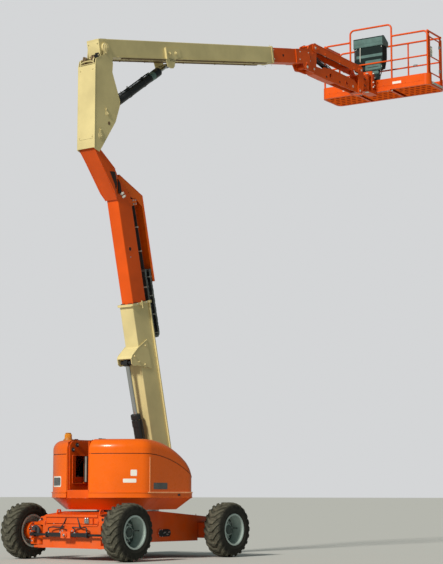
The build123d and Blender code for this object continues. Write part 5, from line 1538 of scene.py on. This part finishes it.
for x in (0.3, 0.8, 1.3):
    for side in (-1, 1):
        add_box(trim, (x, side * 0.1015 - 0.0125, 0.04), (x + 0.026, side * 0.1015 + 0.0125, 0.046), JIB_TOP,
                0.002)
finished("jib_upper_trim", trim, "jib_upper_arm", orange_boom)
finished("jib_upper_bolts", steel, "jib_upper_arm", pipe_pale)
finished("jib_upper_hoses", hoses, "jib_upper_arm", hose_rubber)
print("jib arms dressed")

# %% Jib cylinder
base = Vector((KNUCKLE_EYE[0], 0, KNUCKLE_EYE[1]))
eye = JIB @ Vector((1.4, 0, 0.035))
REACH = aimed(base, eye - base)
above = REACH.to_3x3().inverted() @ Vector((0, 0, 1))
turn = REACH @ Matrix.Rotation(atan2(above.y, above.x), 4, "Z")
head, pipe = blanks(2)
add_turned(head, [(0.0445, 0.74), (0.05, 0.744), (0.05, 0.88), (0.046, 0.902), (0.0252, 0.9035),
                  (0.0252, 0.89), (0.044, 0.885)], turn, 36, ring=True)
finished("jib_barrel_head", head, "jib_barrel", teal_head)
add_tube(pipe, smooth_run([(0.042, 0.014, 0.11), (0.062, 0.014, 0.15), (0.062, 0.014, 0.45),
                           (0.062, 0.014, 0.72), (0.046, 0.012, 0.79)], 6), 0.0085, turn)
for along in (0.25, 0.58):
    add_turned(pipe, [(0.0445, 0), (0.049, 0.002), (0.049, 0.024), (0.0445, 0.026)],
               turn @ placed(0, 0, along), 30, ring=True)
finished("jib_barrel_pipe", pipe, "jib_barrel", hose_rubber)
print("jib cylinder dressed")

# %% Head and rotator
POST_X = 7.16
trim, steel, hoses = blanks(3)
low_pin, high_pin = (arm @ Vector((JIB_LENGTH, 0, 0)) for arm in (JIB, JIB_TOP))
for side in (-1, 1):
    add_pin_cap(steel, (low_pin.x, side * 0.107, low_pin.z), side, WORLD, 0.026, 0.007)
    add_pin_cap(steel, (high_pin.x, side * 0.13, high_pin.z), side, WORLD, 0.025, 0.007)
    add_turned(trim, collar(0.026, (0.05, 0.004), (0.046, 0.007)),
               sided(low_pin.x, 0.107, low_pin.z, side), 36, ring=True)
    add_weld(trim, [(6.955, side * 0.0705, 9.142), (6.955, side * 0.0705, 9.398)], radius=0.005)
    for z in (9.18, 9.36):
        add_bolt(steel, (6.985, side * 0.068, z), (0, side, 0), 0.01)
for z in (9.127, 9.4):
    add_turned(trim, [(0.0852, 0), (0.09, 0.002), (0.09, 0.011), (0.0852, 0.013)], placed(POST_X, 0, z), 44,
               ring=True)
add_weld(trim, [(7.083, -0.0685, 9.145), (7.083, -0.0685, 9.395)], radius=0.004)
finished("jib_head_trim", trim, "jib_head", orange_boom)
finished("jib_head_pins", steel, "jib_head", pipe_pale)
for z in (9.33, 9.2):
    add_tube(hoses, smooth_run([(6.99, -0.066, z), (7.0, -0.082, z), (7.03, -0.086, z - 0.01),
                                (7.06, -0.08, z - 0.02), (7.08, -0.062, z - 0.022)], 6), 0.008)
finished("jib_head_hoses", hoses, "jib_head", hose_rubber)
print("head dressed")

# %% [markdown]
# ## Platform
# The platform is a welded frame of tubes over a perforated floor, with kick plates all round. What gives away
# its scale is small: saddle welds where tubes meet, the latch and hinges of the gate, the control panel with
# its levers and stop button, a foot switch, blank labels and the non-slip pattern on the floor.

# %% Support, floor and kick plates
PARKED = (Matrix.Translation((POST_X, 0, 0)) @ Matrix.Rotation(radians(6), 4, "Z")
          @ Matrix.Translation((-POST_X, -0.05, 0)))      # the platform, turned on its post
trim, steel = blanks(2)
add_turned(steel, capped((0.046, 0.006), (0.03, 0.01), (0.03, 0.024), (0.026, 0.028)),
           PARKED @ placed(POST_X, 0, 9.452), 6)
add_turned(steel, capped((0.044, 0.008), (0.026, 0.012)), PARKED @ placed(POST_X, 0, 9.076), 32)
for side in (-1, 1):
    add_weld(trim, [(7.279, side * 0.062, 9.16), (7.279, side * 0.062, 9.535)], PARKED, 0.004)
    add_weld(trim, [(7.3, side * 0.0615, 9.152), (7.47, side * 0.0615, 9.152)], PARKED, 0.005)
    for z in (9.2, 9.3, 9.48):
        add_bolt(steel, (7.2795, side * 0.082, z), BACK, 0.012, PARKED)
    for z in (9.42, 9.26):
        add_bolt(steel, (7.38, side * 0.06, z), (0, side, 0), 0.012, PARKED)
for y in (-0.4, -0.3, 0.3, 0.4):
    add_bolt(steel, (7.495, y, 9.1395), DOWN, 0.012, PARKED)
add_weld(trim, [(7.285, -0.099, 9.4225), (7.2, -0.084, 9.4225)], PARKED, 0.004)
finished("support_trim", trim, "platform", orange_boom)
finished("support_bolts", steel, "platform", pipe_pale)


def add_oval(form, x, y, z, length, width, thick, place):
    """Flat slot with round ends, along the second axis."""
    rim = [((width / 2) * cos(t) + x, (length - width) / 2 * (1 if sin(t) >= 0 else -1) + (width / 2) * sin(t)
            + y)
           for t in (pi * (k + 0.5) / 8 for k in range(16))]
    rings = [[form.verts.new(place @ Vector((px, py, h))) for px, py in rim] for h in (z, z + thick)]
    form.faces.new(list(reversed(rings[0])))
    form.faces.new(rings[1])
    for a in range(16):
        b = (a + 1) % 16
        form.faces.new((rings[0][a], rings[0][b], rings[1][b], rings[1][a]))


# the floor sheet is the platform orange made lighter, painted light, and the slots in it are dark ovals,
# painted shade
sheet, slots = blanks(2)
for low, high in ((-1.17, -0.412), (-0.345, 0.35), (0.412, 1.17)):
    add_box(sheet, (7.548, low, 9.1705), (8.212, high, 9.1735), PARKED, 0.001)
    count = int((high - low - 0.1) / 0.125)
    for row in range(5):
        for column in range(count + row % 2):
            y = (low + high) / 2 + (column - (count - 1 + row % 2) / 2) * 0.125
            add_oval(slots, 7.62 + 0.13 * row, y, 9.169, 0.088, 0.046, 0.003, PARKED)
finished("lit_floor_sheet", sheet, "platform", lit_floor_sheet, "orange_paint")
finished("floor_slots", slots, "platform", slot_shadow, "black_paint")
tread = bmesh.new()
for row in range(11):
    for column in range(44):
        x, y = 7.682 + 0.048 * row, -1.118 + 0.052 * column
        slant = 45 if (row + column) % 2 else -45
        turned_tread = PARKED @ placed(x, y, 9.2528) @ Matrix.Rotation(radians(slant), 4, "Z")
        add_box(tread, (-0.017, -0.0045, 0), (0.017, 0.0045, 0.0017), turned_tread, 0.0008)
finished("floor_tread", tread, "platform", orange_boom)

labels, trim, steel = blanks(3)
for low_y, high_y in ((0.52, 0.73), (-0.6, -0.405)):
    add_box(labels, (7.4985, low_y, 9.268), (7.5005, high_y, 9.318), PARKED, 0.001)
finished("kick_plate_labels", labels, "platform", label_white, "orange_paint")
for y in (-1.0, -0.7, -0.2, 0.2, 0.85, 1.05):
    for x, outward in ((7.5, BACK), (8.26, AHEAD)):
        add_bolt(trim, (x, y, 9.272), outward, 0.008, PARKED)
add_box(steel, (7.64, -1.2245, 9.2), (8.15, -1.2185, 9.248), PARKED, 0.002)
for x in (7.7, 7.9, 8.09):
    add_bolt(steel, (x, -1.224, 9.224), RIGHT, 0.008, PARKED)
for x in (7.5, 8.26):
    add_weld(trim, [(x, -1.1, 9.25), (x, 1.1, 9.25)], PARKED, 0.003)
finished("kick_plate_welds", trim, "platform", orange_boom)
finished("kick_plate_bolts", steel, "platform", pipe_pale)
print("floor and kick plates dressed")

# %% Rails
welds, fittings = blanks(2)


def add_saddle(form, at, direction, radius):
    """Weld ring where one tube ends on another."""
    add_turned(form, [(radius, -0.005), (radius + 0.006, -0.003), (radius + 0.005, 0.003), (radius, 0.006)],
               PARKED @ aimed(at, direction), 20, ring=True)


X_NEAR, X_FAR, Y_END = 7.55, 8.21, 1.17
for z, radius in ((9.78, 0.0165), (10.29, 0.0195)):
    for side in (-1, 1):
        for x, way in ((X_NEAR, 1), (X_FAR, -1)):
            if z > 10 or side > 0:
                add_saddle(welds, (x + way * 0.021, side * Y_END, z), (way, 0, 0), radius)
for x in (X_NEAR, X_FAR):
    for side in (-1, 1):
        add_saddle(welds, (x, side * (Y_END - 0.021), 9.78), (0, -side, 0), 0.0165)
for y in (-0.37, 0.57):
    for z in (9.78, 10.29):
        for side in (-1, 1):
            if z < 10 or (y < 0) == (side < 0):
                add_saddle(welds, (X_NEAR, y + side * 0.021, z), (0, side, 0), 0.0175 if z < 10 else 0.0195)
for y in (-0.435, 0.45):
    add_saddle(welds, (X_FAR, y, 10.269), DOWN, 0.0165)
    for side in (-1, 1):
        add_saddle(welds, (X_FAR, y + side * 0.018, 9.78), (0, side, 0), 0.0165)
for x in (7.62, 8.17):
    add_saddle(welds, (x, -Y_END, 10.269), DOWN, 0.0165)
for x, y in ((X_NEAR, -Y_END), (X_NEAR, Y_END), (X_FAR, -Y_END), (X_FAR, Y_END), (X_NEAR, -0.37),
             (X_NEAR, 0.57), (X_FAR, -0.435), (X_FAR, 0.45), (7.62, -Y_END), (8.17, -Y_END)):
    add_saddle(welds, (x, y, 9.256), UP, 0.0195)
finished("rail_welds", welds, "platform", orange_boom)
# anchor loops for a harness, and pads under the mid rail
for y in (-0.6, 0.75):
    loop = smooth_run([(X_FAR - 0.012, y - 0.035, 9.8), (X_FAR - 0.045, y - 0.035, 9.78),
                       (X_FAR - 0.06, y, 9.77), (X_FAR - 0.045, y + 0.035, 9.78),
                       (X_FAR - 0.012, y + 0.035, 9.8)], 6)
    add_tube(fittings, loop, 0.006, PARKED, sides=8)
    add_box(fittings, (X_FAR - 0.02, y - 0.045, 9.788), (X_FAR - 0.008, y + 0.045, 9.812), PARKED, 0.002)
finished("harness_anchors", fittings, "platform", zinc)

# %% Gate
welds, latch, hinges = blanks(3)
for z in (9.44, 9.78, 10.18):
    for x, way in ((7.656, 1), (8.134, -1)):
        add_saddle(welds, (x + way * 0.014, -1.17, z), (way, 0, 0), 0.0135)
finished("gate_welds", welds, "gate", orange_boom)
add_box(latch, (7.645, -1.19, 9.77), (7.738, -1.184, 9.985), PARKED, 0.004)
add_box(latch, (7.734, -1.19, 9.79), (7.738, -1.15, 9.965), PARKED, 0.001)
add_turned(latch, capped((0.013, 0.018), (0.01, 0.022)), PARKED @ aimed((7.684, -1.19, 9.93), RIGHT), 20)
add_tube(latch, smooth_run([(7.684, -1.2, 9.93), (7.69, -1.212, 9.9), (7.692, -1.214, 9.85),
                            (7.69, -1.206, 9.815)], 6), 0.007, PARKED)
for z in (9.815, 9.945):
    add_bolt(latch, (7.668, -1.19, z), RIGHT, 0.007, PARKED)
finished("gate_latch", latch, "gate", pipe_pale)
for z in (9.56, 10.06):
    add_turned(hinges, [(0.0135, -0.03), (0.0195, -0.03), (0.0195, 0.03), (0.0135, 0.03)],
               PARKED @ placed(8.134, -1.17, z), 24, ring=True)
    add_box(hinges, (8.133, -1.1935, z - 0.018), (8.148, -1.187, z + 0.018), PARKED, 0.001)
finished("gate_hinges", hinges, "gate", pipe_grey)
print("rails and gate dressed")

# %% Control console
cover, body, pale, dark = blanks(4)
lid = [(7.5565, 10.1565), (7.5565, 10.33), (7.572, 10.35), (7.632, 10.364), (7.82, 10.256), (7.8255, 10.245),
       (7.8255, 10.1565)]
add_plate(cover, lid, -0.1705, 0.5055, PARKED, 0.01)
add_box(cover, (7.554, -0.174, 10.148), (7.828, 0.509, 10.17), PARKED, 0.006)
for z in (10.215, 10.23):
    add_box(cover, (7.5545, -0.15, z), (7.5575, 0.485, z + 0.006), PARKED, 0.001)
finished("console_lid", cover, "platform", console_lid)
add_box(body, (7.569, -0.15, 9.925), (7.574, 0.44, 9.985), PARKED, 0.004)
add_box(body, (7.556, -0.13, 9.64), (7.69, 0.24, 9.86), PARKED, 0.014)
add_box(body, (7.59, -0.05, 9.56), (7.67, 0.16, 9.645), PARKED, 0.01)
finished("console_lower_box", body, "platform", console_lid)
# black strips for the console's grooves: painted shade
for y0, y1 in ((0.44, 0.482), (0.395, 0.412)):
    add_box(dark, (7.5695, y0, 9.9), (7.5745, y1, 10.11), PARKED, 0.003)
for z0, z1 in ((9.7, 9.715), (9.79, 9.8)):
    add_box(dark, (7.554, -0.07, z0), (7.5575, 0.18, z1), PARKED, 0.001)
finished("console_groove_shade", dark, "platform", black_plastic, "console_plastic")
add_tube(pale, smooth_run([(7.566, 0.347, 10.15), (7.56, 0.348, 10.12), (7.56, 0.35, 9.98),
                           (7.56, 0.351, 9.88), (7.566, 0.351, 9.85)], 6), 0.0085, PARKED)
for y in (-0.13, 0.46):
    for z in (9.7, 10.12):
        add_bolt(pale, (7.572, y, z), BACK, 0.007, PARKED)
finished("console_rod", pale, "platform", pipe_pale)

# %% Levers and switches
PANEL = PARKED @ placed(7.632, 0.1675, 10.364, -29.9)     # first axis down the slope towards the operator
plate, levers, knobs, stop = blanks(4)
add_box(plate, (0.012, -0.32, 0), (0.205, 0.32, 0.003), PANEL, 0.001)
for y in (-0.23, 0.23):
    add_turned(levers, [(0, 0), (0.036, 0), (0.034, 0.006), (0.027, 0.01), (0.029, 0.016), (0.02, 0.021),
                        (0.021, 0.026), (0.012, 0.032), (0.009, 0.06), (0.015, 0.07), (0.018, 0.095),
                        (0.014, 0.112),
                        (0, 0.116)],
               PANEL @ placed(0.105, y, 0.003), 28)
for k in range(8):
    y = -0.12 + 0.034 * k
    for x in (0.055, 0.15):
        add_turned(levers, [(0, 0), (0.009, 0), (0.009, 0.005), (0.004, 0.006), (0.003, 0.022),
                            (0.005, 0.026), (0, 0.03)],
                   PANEL @ placed(x, y, 0.003), 12)
        add_box(knobs, (x - 0.022, y - 0.01, 0.0028), (x - 0.014, y + 0.01, 0.0036), PANEL, 0.0003)
add_turned(stop, [(0, 0), (0.013, 0), (0.013, 0.014), (0.021, 0.017), (0.022, 0.024), (0.016, 0.031),
                  (0, 0.033)],
           PANEL @ placed(0.06, 0.175, 0.003), 28)
add_turned(knobs, collar(0.0245, (0.03, 0.002)), PANEL @ placed(0.06, 0.175, 0.003), 28, ring=True)
finished("panel_plate", plate, "platform", black_plastic, "console_plastic")
finished("panel_levers", levers, "platform", black_plastic, "console_plastic")
finished("panel_marks", knobs, "platform", label_white, "console_plastic")
finished("panel_stop_button", stop, "platform", stop_red, "console_plastic")

cables, pedal = blanks(2)
for y in (-0.1, 0.02, 0.12):
    add_tube(cables, smooth_run([(7.64, y, 9.68), (7.63, y, 9.6), (7.6, y * 0.8, 9.48), (7.59, y * 0.7, 9.35),
                                 (7.58, y * 0.7, 9.262)], 6), 0.011, PARKED)
add_box(pedal, (7.95, 0.18, 9.253), (8.09, 0.33, 9.264), PARKED, 0.004)
add_plate(pedal, [(7.962, 9.262), (7.962, 9.3), (7.99, 9.31), (8.07, 9.285), (8.08, 9.262)], 0.192, 0.318,
          PARKED, 0.004)
for y in (0.186, 0.324):
    add_plate(pedal, [(7.955, 9.262), (7.955, 9.345), (8.0, 9.362), (8.085, 9.3), (8.085, 9.262)], y - 0.003,
              y + 0.003, PARKED, 0.001)
add_plate(pedal, [(7.955, 9.345), (8.0, 9.362), (8.03, 9.34), (8.03, 9.334), (7.998, 9.355), (7.955, 9.339)],
          0.186, 0.324, PARKED, 0.001)
finished("console_cables", cables, "platform", hose_rubber)
finished("foot_switch", pedal, "platform", black_plastic, "console_plastic")
print("console dressed")
